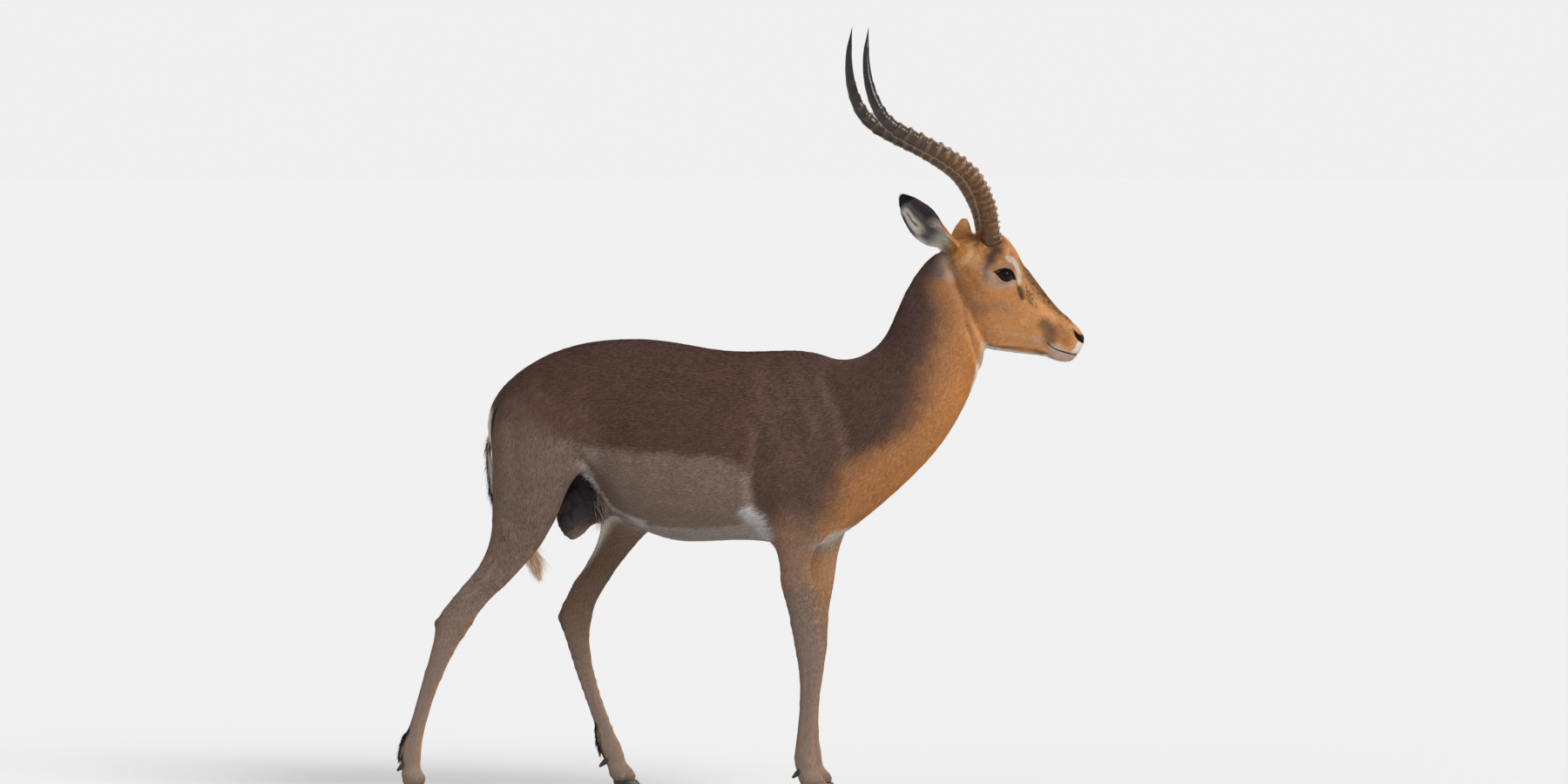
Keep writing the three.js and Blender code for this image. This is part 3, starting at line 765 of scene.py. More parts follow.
def eyeAxes(side):
    # outwards, to the front corner and up, as frame directions
    def turned(v):
        return faceAhead * v[0] + upwards * v[1] + faceLeft * v[2] * sideSign[side]
    out = unit(turned(eyeWork["facing"]))
    front = turned((1, eyeWork["slant"], 0))
    front = unit(front - out * (front @ out))
    up = np.cross(out, front)
    return out, front, up * np.sign(up[2])


def lidMeasures(side, places):
    # mm to the front, up, outwards from the eye's middle, and mm outside the lids' edge
    out, front, up = eyeAxes(side)
    away = (places - eyeAt[side]) / mm
    x, y, w = away @ front, away @ up, away @ out
    length = np.where(x > 0, eyeWork["front"], eyeWork["back"])
    share = np.clip(np.abs(x) / length, 0, 1)
    tall = np.where(y > 0, eyeWork["upper"] * (1 - share ** 2.3), eyeWork["lower"] * (1 - share ** 2))
    beyond = np.maximum(np.abs(x) - length, 0)
    edge = np.where(share < 1, np.abs(y) - tall, np.hypot(beyond, y))
    return x, y, w, edge


def openLids():
    places = placesOf(skinMesh)
    for side in sides:
        _, y, w, edge = lidMeasures(side, places)
        away = (places - eyeAt[side]) / mm
        far = np.linalg.norm(away, axis=1)
        near = (far < 27) & (w > -2)
        ball = eyeRadius / mm
        lid = np.where(y > 0, eyeWork["upperLid"], eyeWork["lowerLid"])
        crease = np.exp(-((edge - 4.6) / 1.2) ** 2)
        want = ball + lid * np.exp(-(np.maximum(edge, 0) / 8) ** 2) - 0.7 * crease
        want -= 0.5 * np.exp(-((edge - 8.2) / 1.3) ** 2) * (y > 0)      # a second crease above
        outer = np.maximum(far - 0.6 * crease, want)
        rim = ball + 0.25
        goal = np.where(edge > 1.1, outer, np.where(edge > 0, rim + (outer - rim) * ease(0, 1.1, edge),
                                                   ball - eyeWork["hidden"]))
        dirs = away / far[:, None]
        fresh = eyeAt[side] + dirs * goal[:, None] * mm
        places[near] = fresh[near]
    putPlaces(skinMesh, places)


mouthWork = {
    "line": ((86, -129, 30), (91, -136, 29), (97, -140, 28), (106, -145.5, 27), (118, -149, 25),
             (130, -152.5, 22), (141, -155, 17), (149, -155, 9), (151, -155, 0)),
    "depth": 3.4, "width": 1.0, "lips": 0.55,
    "nostril": ((137, -104, 22), (141, -112, 23), (147, -120, 22), (153, -126, 19), (157, -130, 15)),
    "nostrilDepth": (2.0, 4.5, 7.0, 7.0, 3.0), "nostrilWidth": (1.6, 2.3, 3.4, 3.4, 2.0),
}


def finest(middles):
    face = halfFace(middles)
    chosen = (lineGap(face, mouthWork["line"])[0] < 4.5) | (lineGap(face, mouthWork["nostril"])[0] < 8)
    for side in sides:
        _, _, w, edge = lidMeasures(side, middles)
        chosen |= (np.abs(edge) < 3.2) & (gapTo(middles, eyeAt[side]) < 0.028) & (w > 0)
    return chosen


def onSkin(line):
    # the line in short steps, brought onto the skin from the side
    line = np.array(line, float)
    steps = np.linspace(0, len(line) - 1, 8 * (len(line) - 1) + 1)
    fine = np.column_stack([np.interp(steps, np.arange(len(line)), line[:, k]) for k in range(3)])
    for k, (a, u, o) in enumerate(fine):
        hit = skinTree.ray_cast(Vector(fromFace(a, u, -o - 60)), Vector(faceLeft))[0]
        if hit is not None and o > 12:
            found = -inFace(np.array([hit]))[0, 2]
            if abs(found - o) < 14:
                fine[k, 2] = found
    return fine


skinTree = BVHTree.FromPolygons(placesOf(skinMesh).tolist(), [p.vertices[:] for p in skinMesh.polygons])
mouthWork["line"] = onSkin(mouthWork["line"])
mouthWork["nostril"] = onSkin(mouthWork["nostril"])
refined(finest)
openLids()


def cutMouth():
    places = placesOf(skinMesh)
    normals = evened(normalsOf(skinMesh), edgesOf(skinMesh), 3)
    face = halfFace(places)
    gap, way = lineGap(face, mouthWork["line"])
    fade = ease(0, 0.10, way)
    move = -mouthWork["depth"] * np.exp(-(gap / mouthWork["width"]) ** 2) * fade
    move += mouthWork["lips"] * np.exp(-((gap - 3.4) / 1.7) ** 2) * fade
    gap, way = lineGap(face, mouthWork["nostril"])
    steps = np.linspace(0, 1, 5)
    deep = np.interp(way, steps, mouthWork["nostrilDepth"])
    wide = np.interp(way, steps, mouthWork["nostrilWidth"])
    move += 0.8 * np.exp(-((gap - wide - 2.2) / 1.8) ** 2)
    places = places + normals * (move * mm)[:, None]
    inward = unit(-normals - faceAhead * 0.6)
    places = places + inward * (deep * np.exp(-(gap / wide) ** 4) * mm)[:, None]
    putPlaces(skinMesh, places)


cutMouth()
skinMesh.validate()  # drops a face that lies on another
say(f"face cut, {triangles(skinMesh)} triangles")


# Horns, eyes and hooves

hornWork = {
    "slices": 90, "along": 420, "around": 40,
    "ridged": 0.86,                  # share of the length with rings on
    "first": 10.5, "last": 29.0,     # mm between rings, at the root and at the end of them
    "height": 4.2,                   # mm, of a ring where it stands highest
    "low": 0.13,                     # share of that on the outer side
}


def latticed(rows, around):
    # four-cornered faces between rings of corners
    faces = []
    for k in range(rows):
        for j in range(around):
            low, high, after = k * around, (k + 1) * around, (j + 1) % around
            faces.append((low + j, low + after, high + after, high + j))
    return faces


def calmed(row, rounds):
    # each value but the ends drawn towards its neighbours
    for _ in range(rounds):
        row[1:-1] = (row[:-2] + 2 * row[1:-1] + row[2:]) / 4
    return row


def hornLine(side):
    # the horn's middle line and its radius, from slices of the solid, its root run down into the skull
    node = "horn_" + side
    low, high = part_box(node)
    cuts = [sliceOf(node, h) for h in np.linspace(low.z + 0.040, high.z - 0.0015, hornWork["slices"])]
    middle = calmed(np.array([c[0] for c in cuts]), 3)
    tangent = unit(np.gradient(middle, axis=0))
    radius = calmed(np.array([math.sqrt(c[1] * abs(t[2]) / math.pi) for c, t in zip(cuts, tangent)]), 10)
    lean = unit(middle[0] - middle[6])
    roots = [middle[0] + lean * d for d in (0.060, 0.040, 0.020)]
    return np.vstack([*roots, middle]), np.append([radius[0] * 1.05] * 3, radius)


def hornMesh(side):
    middle, radius = hornLine(side)
    length = np.append(0, np.cumsum(np.linalg.norm(np.diff(middle, axis=0), axis=1)))
    t = np.linspace(0, length[-1], hornWork["along"])
    path = calmed(np.column_stack([np.interp(t, length, middle[:, k]) for k in range(3)]), 12)
    share = t / length[-1]
    size = np.interp(t, length, radius) * np.clip((length[-1] + 0.001 - t) / 0.040, 0, 1) ** 0.5
    size *= 1 + 0.26 * ease(0.45, 0.72, share) * ease(1.0, 0.93, share)
    ahead = unit(np.gradient(path, axis=0))
    front = np.tile(faceAhead, (len(t), 1))
    front = unit(front - ahead * (front * ahead).sum(1)[:, None])
    across = np.cross(ahead, front)
    # rings close together at the root and wider apart towards the tip
    ridged, first, last = hornWork["ridged"], hornWork["first"], hornWork["last"]
    ringed = t[-1] * ridged / mm
    turn = ringed / (last - first) * np.log1p((last / first - 1) * np.clip(share / ridged, 0, 1.2))
    n, around = len(t), hornWork["around"]
    angles = np.linspace(0, 2 * math.pi, around, endpoint=False)
    fade = (1 - ease(ridged * 0.7, ridged * 1.05, share)) * ease(0.03, 0.09, share)
    outer = np.sign(across @ (faceLeft * sideSign[side])).mean()
    tall = (0.5 + 0.5 * np.cos(angles + outer * 0.45)) ** 2.2
    places, shades = [], []
    for k in range(n):
        wave = turn[k] + 0.14 * np.sin(angles) + 0.05 * np.sin(3 * angles + turn[k])
        saw = wave % 1.0
        before, after = np.maximum(0.62 - saw, 0), np.maximum(saw - 0.62, 0)
        crest = np.exp(-(before / (0.15 + 0.12 * share[k])) ** 2 - (after / 0.11) ** 2)
        crest -= 0.3 * np.exp(-((saw - 0.9) / 0.12) ** 2)
        uneven = 1 + 0.25 * np.sin(wave.astype(int) * 2.4 + angles)
        even = hornWork["low"] + 0.16 * ease(0.30, 0.55, share[k])
        high = (even + (1 - even) * tall * (1 - 0.45 * ease(0.35, 0.7, share[k]))) * uneven
        r = size[k] + fade[k] * (crest * high * hornWork["height"] - 0.7) * mm
        r = r + 0.16 * mm * np.sin(angles * 15 + 3 * np.sin(share[k] * 40)) * (1 - 0.8 * share[k])
        places.append(path[k] + np.outer(np.cos(angles) * r * 1.03, front[k])
                      + np.outer(np.sin(angles) * r * 0.97, across[k]))
        shades.append(np.column_stack([np.full(around, share[k]), fade[k] * crest * high, saw]))
    tip = path[-1] + ahead[-1] * size[-1] * 0.8
    ends = [[[1, 0, 0.5]], [[0, 0, 0.5]]]     # marks of the tip and of the root's middle
    faces = latticed(n - 1, around)
    last = (n - 1) * around
    for j in range(around):
        i = (j + 1) % around
        faces += [(last + j, last + i, n * around), (i, j, n * around + 1)]
    corners = np.vstack(places + [tip[None], path[0][None]])
    return shellOf("horn", corners, faces, "horn", np.vstack(shades + ends))


horns = {side: newPiece("horn_" + side + "_ringed", hornMesh(side)) for side in sides}
say("horns ringed")


ballWork = {"around": 72, "rings": 60, "cornea": 1.0, "iris": 12.5, "pupilLong": 8.2, "pupilTall": 4.4}


def eyeMesh(side):
    # a ball with its clear front swollen, its rings round the eye's own axis
    out, front, up = eyeAxes(side)
    rings, around = ballWork["rings"], ballWork["around"]
    places, marks = [], []
    for i in range(rings + 1):
        a = math.pi * i / rings
        swell = ballWork["cornea"] * mm * (1 - ease(3, 13, math.sin(a) * eyeRadius / mm))
        bulge = swell if math.cos(a) > 0 else 0
        for j in range(around):
            b = 2 * math.pi * j / around
            x, y, w = math.sin(a) * math.cos(b), math.sin(a) * math.sin(b), math.cos(a)
            places.append(eyeAt[side] + (front * x + up * y + out * w) * (eyeRadius - 0.0002 + bulge))
            marks.append(np.array((x, y, w)) * eyeRadius / mm)
    return shellOf("eye", places, latticed(rings, around), "look", marks, merged=1e-6)


eyeballs = {side: newPiece("eyeball_" + side, eyeMesh(side)) for side in sides}

hoofWork = {
    "cell": 0.0016, "rounds": 16, "clawRounds": 5, "top": 3.0,
    "toe": 0.42,           # share of its width a hoof loses at its toe, on the outer side
    "crown": 0.10,         # and at its top
    "claws": 6.5,          # mm, of the dew claws' sinking into the hair
}


def pairMiddle(node):
    # across the body, the middle between a foot's two hooves
    pair = [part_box(n) for n in hoofNodes if n.rsplit("_", 1)[0] == node.rsplit("_", 1)[0]]
    return sum(b[0].y + b[1].y for b in pair) / 2 / len(pair)


def hornyMesh(nodes, rise, rounds):
    # hooves or dew claws as smooth closed forms, their tops run up into the hair
    joined = bmesh.new()
    for node in nodes:
        solid = solidOf(node)
        high = max(v.co.z for v in solid.verts)
        for v in solid.verts:
            if v.co.z > high - 0.012:
                v.co.z += rise * mm
        tool = newPiece("tool", toMesh(solid, "tool"))
        one = voxelled(tool, hoofWork["cell"])
        places = placesOf(one)
        floor = places[:, 2].min()
        soft = evened(places, edgesOf(one), rounds, 0.5)
        if node.startswith("hoof"):
            soft[places[:, 2] < floor + 0.0016, 2] = floor
            low, high = soft.min(0), soft.max(0)
            share = (soft - low) / (high - low)
            out = np.sign((low + high)[1] / 2 - pairMiddle(node))
            inner = low[1] if out > 0 else high[1]
            slim = 1 - hoofWork["toe"] * ease(0.30, 1.15, share[:, 0]) - hoofWork["crown"] * share[:, 2]
            slim -= 0.10 * ease(0.25, 0.0, share[:, 0])
            soft[:, 1] = inner + (soft[:, 1] - inner) * slim
        else:
            _, end, side, _ = node.split("_")
            leg = sliceOf(f"{end}leg_{side}", soft[:, 2].mean())[0]
            soft += unit((leg - soft.mean(0)) * (1, 1, 0)) * hoofWork["claws"] * mm
        putPlaces(one, soft)
        joined.from_mesh(one)
        bpy.data.objects.remove(tool)
    return smooth(toMesh(joined, "horny"))


hoofNodes = sorted(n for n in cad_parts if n.startswith("hoof_"))
clawNodes = sorted(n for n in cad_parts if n.startswith("dewclaw_"))
hooves = newPiece("hooves", hornyMesh(hoofNodes, hoofWork["top"], hoofWork["rounds"]))
dewClaws = newPiece("dewClaws", hornyMesh(clawNodes, 0, hoofWork["clawRounds"]))
say(f"hooves {len(hooves.data.polygons)} and dew claws {len(dewClaws.data.polygons)} faces")
smooth(skinMesh)


# Markings, painted on the corners of the skin and read by skin and coat alike

coatColours = {
    # back and sides
    # the neck's and the chest's colours are painted sunlit, and the neck's shade colour is painted shade
    "saddle": (101, 76, 66), "backLine": (88, 65, 56), "shoulder": (117, 92, 80), "neck": (196, 138, 92),
    "neckShade": (101, 78, 69), "chestSunlit": (212, 144, 82), "flank": (141, 120, 108), "bellyShadedWhite": (166, 155, 146),
    "white": (232, 222, 206), "shadeWhite": (200, 196, 196), "black": (24, 20, 18), "brush": (226, 198, 172),
    "bare": (66, 59, 61), "bareDarkAndShade": (30, 26, 27), "bareEdge": (150, 122, 94),
    # legs
    "thigh": (127, 105, 93), "foreleg": (148, 116, 93), "shank": (142, 121, 108), "sunlitEdge": (190, 138, 88),
    # the hind legs' inner colour is darkened by painted shade
    "inner": (124, 100, 82), "innerFore": (188, 142, 104), "pastern": (150, 128, 110),
    "darkBrown": (64, 44, 33),
    # head
    "face": (210, 149, 95), "faceLit": (240, 174, 114), "cheekBack": (180, 126, 82), "brow": (150, 103, 66),
    "charcoal": (80, 62, 54), "slate": (118, 104, 98), "dusk": (142, 114, 94), "tear": (92, 62, 40),
    "underEye": (190, 162, 138), "cream": (228, 208, 184), "ridge": (84, 55, 35), "whorl": (218, 172, 122),
    "shadowBelowEar": (110, 104, 108), "belowEarPale": (198, 170, 146), "jaw": (212, 158, 110),
    "muzzleBrownAndJawShade": (120, 88, 66), "muzzleSide": (170, 113, 66), "chin": (196, 172, 158), "lid": (22, 17, 16),
    "mouthLine": (26, 18, 16), "lipEdge": (200, 172, 150), "earBack": (206, 142, 78),
    "earInside": (100, 92, 99), "earDark": (56, 47, 51),
}


def toLight(colour):
    c = np.array(colour, float) / 255
    return np.where(c <= 0.04045, c / 12.92, ((c + 0.055) / 1.055) ** 2.4)


shadeOf = {name: toLight(c) for name, c in coatColours.items()}

# side view lines, mm ahead of the middle and above the floor
saddleEdge = ((-480, 764), (-439, 762), (-400, 756), (-369, 742), (-343, 725), (-312, 711), (-277, 704),
              (-224, 700), (-171, 696), (-119, 694), (-68, 690), (-17, 684), (16, 674), (60, 660))
shoulderEdge = ((540, 62), (560, 58), (600, 47), (626, 44), (652, 38), (680, 16), (700, -10))
bellyEdge = ((-300, 572), (-262, 562), (-216, 556), (-179, 550), (-125, 547), (-74, 546), (-23, 547),
             (11, 553), (34, 566), (60, 545), (100, 534), (168, 519), (184, 536), (215, 545), (250, 552))
neckShadeEdge = ((540, 160), (600, 205), (640, 214), (671, 230), (700, 270), (727, 314), (756, 346),
                 (811, 366), (861, 378), (926, 396), (1011, 416), (1062, 430), (1120, 444))
armpitLine = ((28, 577), (50, 560), (64, 532))
groinLine = ((-303, 672), (-293, 642), (-277, 608), (-250, 576), (-215, 560), (-172, 548))

faceMarks = (
    # colour, line (ahead, up, outwards), reach, softness, amount
    ("cheekBack", ((-110, -20, 50), (-70, -60, 50), (-66, -20, 54)), 30, 44, 0.9),
    ("brow", ((-50, 70, 6), (0, 66, 5), (30, 30, 6)), 17, 18, 0.6),
    ("jaw", ((60, -128, 26), (20, -120, 32), (-20, -112, 40)), 14, 20, 0.6),
    ("whorl", ((-58, 26, 50), (-66, 46, 48), (-74, 62, 40)), 12, 12, 0.7),
    ("belowEarPale", ((-118, 38, 40), (-108, 14, 46), (-100, 0, 48)), 12, 13, 0.75),
    # a painted shadow under the ear
    ("shadowBelowEar", ((-134, 42, 36), (-130, 24, 40), (-124, 8, 44)), 10, 12, 0.9),
    ("underEye", ((-34, 8, 55), (-26, -9, 57), (-8, -15, 59), (12, -14, 56), (24, -7, 51)), 9.5, 9, 0.85),
    ("dusk", ((-36, 18, 54), (-16, 20, 57), (4, 20, 56), (15, 14, 52)), 8, 11, 0.6),
    ("slate", ((-32, 36, 51), (-38, 22, 54), (-37, 6, 55), (-33, -8, 56)), 5, 16, 0.6),
    ("charcoal", ((-11, 48, 46), (-19, 46, 47), (-25, 34, 52)), 9.5, 15, 0.9),
    ("charcoal", ((-18, 49, 45), (-20, 42, 48)), 4, 8, 0.6),
    ("faceLit", ((-6, 74, 12), (12, 60, 18), (24, 42, 20)), 15, 16, 0.8),
    ("faceLit", ((46, -16, 34), (70, -50, 28), (98, -84, 22)), 9, 14, 0.6),
    ("slate", ((-46, -62, 52), (-20, -60, 54), (6, -70, 50)), 12, 26, 0.3),
    ("cream", ((9, 34, 52), (18, 29, 47), (26, 18, 43), (29, 4, 42), (31, -13, 46)), 5.4, 6, 0.95),
    ("white", ((14, 31, 49), (22, 23, 45), (28, 8, 42)), 2.6, 4, 0.85),
    ("tear", ((25, -13, 50), (29, -22, 47)), 2.2, 4, 0.9),
    ("tear", ((31, -26, 46), (34, -34, 43), (37, -43, 40)), 5.8, 5, 0.95),
    ("whorl", ((39, -20, 41), (44, -34, 37)), 2.6, 4, 0.6),
    # a painted shadow along the jaw's lower edge, above the white under it
    ("muzzleBrownAndJawShade", ((-30, -136, 18), (25, -141, 18), (66, -147, 18), (88, -154, 16)), 3.6, 5, 0.85),
    ("muzzleSide", ((108, -108, 26), (122, -122, 26)), 15, 16, 0.75),
    ("lipEdge", ((80, -130, 32), (66, -127, 32)), 8, 11, 0.55),
    ("lipEdge", ((86, -126, 30), (98, -134, 28), (112, -140, 26)), 6, 6, 0.75),
    # the muzzle's own darker brown patch
    ("muzzleBrownAndJawShade", ((84, -96, 33), (93, -110, 31), (92, -124, 30)), 12.5, 18, 0.9),
    ("whorl", ((112, -138, 27), (126, -143, 25)), 5, 6, 0.4),
)


noseRidge = ((34, 14, 3), (46, 0, 3), (58, -14, 3), (76, -33, 3), (97, -52, 3), (117, -70, 3), (136, -86, 3))
darkStreak = ((44, -24, 38), (54, -42, 33), (62, -56, 31))
whiteLip = ((140, -152, 20), (147, -143, 20), (152, -134, 20), (147, -143, 20), (148, -149, 16),
            (155, -148, 11), (158, -141, 13), (160, -146, 6), (160, -146, 0))
throatPatch = ((-44, -134, 0), (-46, -176, 2), (-54, -205, 3))
lidMarks = (
    # line (to the front, up) from the eye's middle, reach
    (((-23, 3), (-14, 2.5)), 1.3),
    (((14, -1), (18, -2)), 3.6),
    (((18, -2), (23.5, -4)), 1.9),
    (((-21, 4), (-13, 9.6), (-3, 12.6), (7, 12.2), (15, 7), (21, -1)), 1.9),
)
earMarks = (
    # colour, middle across and how it wanders, edges across, start and end from root to tip, amount
    ("white", -0.52, 0, (0.34, 0.16), (0.36, 0.5), (0.85, 0.78), 0.6),
    ("earDark", -0.50, -0.6, (0.10, 0.04), (0.5, 0.56), (0.79, 0.74), 0.9),
    ("earDark", 0.42, 1, (0.44, 0.14), (0.40, 0.52), (0.86, 0.79), 0.85),
    ("earDark", -0.15, -1, (0.4, 0.1), (0.26, 0.36), (0.56, 0.44), 0.55),
)

# Every corner of the finished skin: its place, the part it belongs to and the way it faces

places, edges = placesOf(skinMesh), edgesOf(skinMesh)
x, y, z = (places / mm).T            # ahead of the middle, to the left and above the floor
aside, sideView = np.abs(y), places[:, (0, 2)] / mm
normals = normalsOf(skinMesh)
softNormals = evened(normals, edges, 2)
nx, ny, nz = softNormals.T
outward = ny * np.sign(y)
kind = kindsOf(places)[1]
part = {name: evened((kind == k).astype(float), edges, 14) for k, name in enumerate(fleshKinds)}
fore, hind = part["foreleg"], np.clip(part["hindleg"] * 1.2, 0, 1)
head = np.clip(part["head"] * 1.4, 0, 1)
nearHead = gapTo(places, headMiddle) < 0.19
face = halfFace(places)
a, u, o = face.T                     # ahead of the eyes, up and outwards
rough = wander(places, 0.03, 3) * 5 + wander(places, 0.009, 5) * 2.5
colour = np.tile(shadeOf["saddle"], (len(places), 1))


def lay(name, amount):
    # a coat of paint, whole where amount is 1
    colour[:] += (shadeOf[name] - colour) * np.clip(amount, 0, 1)[:, None]


def mottle(amount, drift, tint):
    colour[:] *= (1 + amount)[:, None]
    colour[:] *= 1 + np.outer(drift, tint)


def bands(line, at):
    return np.interp(at, *np.array(line, float).T)


def paintBack():
    lay("backLine", ease(0.75, 0.98, nz) * ease(45, 15, aside) * (x < 250) * 0.7)
    lay("shoulder", ease(-30, 180, x) * ease(80, -40, z - 840))
    # the neck and the shoulder's front painted in shade first, then the neck's front painted sunlit up to
    # that shade's edge
    lay("neckShade", ease(60, 230, x + (z - 700) * 0.15))
    ahead = x - bands(neckShadeEdge, z) + rough
    lay("neck", ease(-46, 50, ahead + rough * 1.5) * ease(110, 170, x))
    # the chest painted sunlit where it faces forwards
    lay("chestSunlit", ease(160, 240, x) * ease(0.25, 0.85, nx) * ease(540, 620, z) * 0.85)
    # a painted shadow behind the elbow
    lay("neckShade", ease(62, 8, np.hypot(x - 112, (z - 625) * 0.9)) * 0.4)
    lay("foreleg", fore * ease(660, 520, z))


def paintTan():
    # below the saddle, from thigh to elbow, and down the legs
    blur = np.interp(x, (-480, -400, -330, -290), (58, 46, 22, 8.5))
    below = ease(0, 1, 0.5 - (z - bands(saddleEdge, x) + rough) / blur / 2)
    behind = ease(6, -14, x - bands(shoulderEdge, z) + rough)
    lay("flank", below * behind * (1 - hind) * (x > -345))
    lay("thigh", below * np.maximum(hind, ease(-320, -350, x)))
    lay("flank", ease(24, 8, np.hypot(x + 330, (z - 706) * 1.4)) * 0.6)
    lay("shank", np.clip(hind + fore * ease(480, 400, z), 0, 1) * ease(560, 380, z))
    # painted sunlight along the legs' front edges
    lay("sunlitEdge", np.clip(hind + fore * 0.6, 0, 1) * ease(0.35, 0.9, nx) * ease(540, 470, z) * 0.5)
    # the inner sides of the hind legs: their own colour, darkened by painted shade
    lay("inner", ease(0.2, -0.4, outward) * ease(180, 420, z) * hind)
    lay("innerFore", ease(0.1, -0.5, outward) * ease(300, 450, z) * fore)
    lay("pastern", ease(110, 60, z) * 0.7)
    drift = wander(places, 0.07, 31) * 0.5 + wander(places, 0.022, 33) * 0.5
    mottle((0.13 - 0.10 * (fore + part["hindleg"])) * drift, drift, (0.03, -0.01, -0.04))


def paintUnder():
    beneath = ease(3.5, -5, z - bands(bellyEdge, x) + rough * 0.6)
    # the white belly painted in shade, greyer than the white laid under the chest below
    lay("bellyShadedWhite", beneath * ease(-310, -285, x) * (1 - fore) * ease(262, 235, x) * (1 - hind))
    lay("white", ease(0.0, -0.45, outward) * ease(560, 660, z) * hind * 0.25)
    lay("white", beneath * ease(140, 175, x) * ease(262, 240, x) * (1 - fore) * 0.8)
    armpit = lineGap(sideView, armpitLine)[0]
    lay("shadeWhite", ease(17, 9, armpit + rough * 0.5) * (aside < 125) * (1 - 0.7 * fore))


def buttockLine(side):
    # where the black stripe runs down the back of the thigh, outwards and up
    middles = [sliceOf("hindleg_" + side, h)[0] / mm for h in (0.58, 0.53, 0.49)]
    line = [(48, 772), (57, 735), (63, 695), (68, 645)] + [(abs(m[1]), m[2]) for m in middles]
    for _ in range(3):
        inner = [((a[0] + 2 * b[0] + c[0]) / 4, b[1]) for a, b, c in zip(line, line[1:], line[2:])]
        line = [line[0], *inner, line[-1]]
    return line


def paintRump():
    # white round the tail, and a black stripe down each buttock
    for side in sides:
        line = buttockLine(side)
        edge = bands([(up, out) for out, up in line[::-1]], z)
        behind = np.maximum(ease(-290, -340, x) * (z > 600), hind * ease(-200, -240, x))
        facing = ease(-0.15, -0.6, nx) * behind * ((y > 0) == (side == "left"))
        inside = ease(4, -4, aside - edge + rough * 0.4) * ease(430, 520, z)
        inside *= ease(790, 770, z + aside * 0.25 + rough)
        inside *= np.maximum(ease(560, 620, z), ease(-0.35, -0.7, nx))
        shown = np.maximum(1 - hind, np.maximum(ease(0.5, -0.1, outward), ease(510, 600, z)))
        lay("white", facing * inside * shown)
        stripe = lineGap(np.column_stack([aside, z]), line)[0]
        wide = np.interp(z, (500, 560, 640, 780), (3.5, 6.5, 8.5, 8.0))
        lay("black", facing * ease(2.5, -2.5, stripe - wide + rough * 0.35) * 0.95)


def paintTail():
    tail = np.clip(part["tail"] * 1.5, 0, 1)
    lay("white", tail)
    lay("saddle", tail * ease(745, 768, z))
    lay("black", tail * ease(-0.1, -0.55, nx) * ease(6.5, 4.5, aside) * ease(540, 560, z) * ease(775, 755, z))


def paintGroin():
    hung = np.clip(part["scrotum"] * 1.5 + part["sheath"] * 1.3 - 0.1, 0, 1)
    lay("bare", hung)
    patches = ease(0.1, 0.5, wander(places, 0.016, 41)) * 0.6
    # darker patches at random, and the upper part darkened as painted shade where it hangs by the fold
    lay("bareDarkAndShade", hung * np.maximum(ease(575, 640, z + rough * 2), patches))
    lay("bareEdge", hung * ease(0.1, -1.1, nz - nx * 0.5) * ease(580, 520, z + rough * 2) * 0.75)
    fold = lineGap(sideView, groinLine)[0]
    lay("shadeWhite", ease(12, 5, fold + rough * 0.3) * ease(1.0, 0.4, hind) * (x < -172) * (aside > 26)
        * (1 - part["scrotum"]) * ease(0.2, 0.5, outward) * 0.9)


def backOfLeg(side, height, depth):
    # a point behind the middle of the hind leg, depth half lengths away
    middle, _, half = sliceOf("hindleg_" + side, height)
    return middle - (half[0] * depth, 0, 0)


def paintHocks():
    # the black glands above the hooves, and a shade on the hock
    for side in sides:
        gap = lineGap(places, [backOfLeg(side, h, 0.9) for h in (0.145, 0.115, 0.085)])[0]
        lay("black", ease(15, 9, gap / mm + rough * 0.4))
        gap = lineGap(places, [backOfLeg(side, 0.372, 1), backOfLeg(side, 0.372, 0.7) - (0, 0, 0.03)])[0]
        lay("darkBrown", ease(18, 4, gap / mm) * 0.4)


def paintFace():
    lay("face", head * ease(-112, -70, a))
    for name, line, reach, softness, amount in faceMarks:
        flat = (1, 1, 0.4 if min(p[2] for p in line) > 28 else 1)
        gap = lineGap(face * flat, np.array(line) * flat)[0] + rough * 0.25 * min(softness / 6, 1)
        lay(name, ease(reach + softness / 2, reach - softness / 2, gap) * amount * nearHead)
    dapple = (wander(places, 0.024, 51) * 0.10 + wander(places, 0.008, 52) * 0.08) * head
    mottle(dapple, dapple, (0.2, -0.1, -0.5))


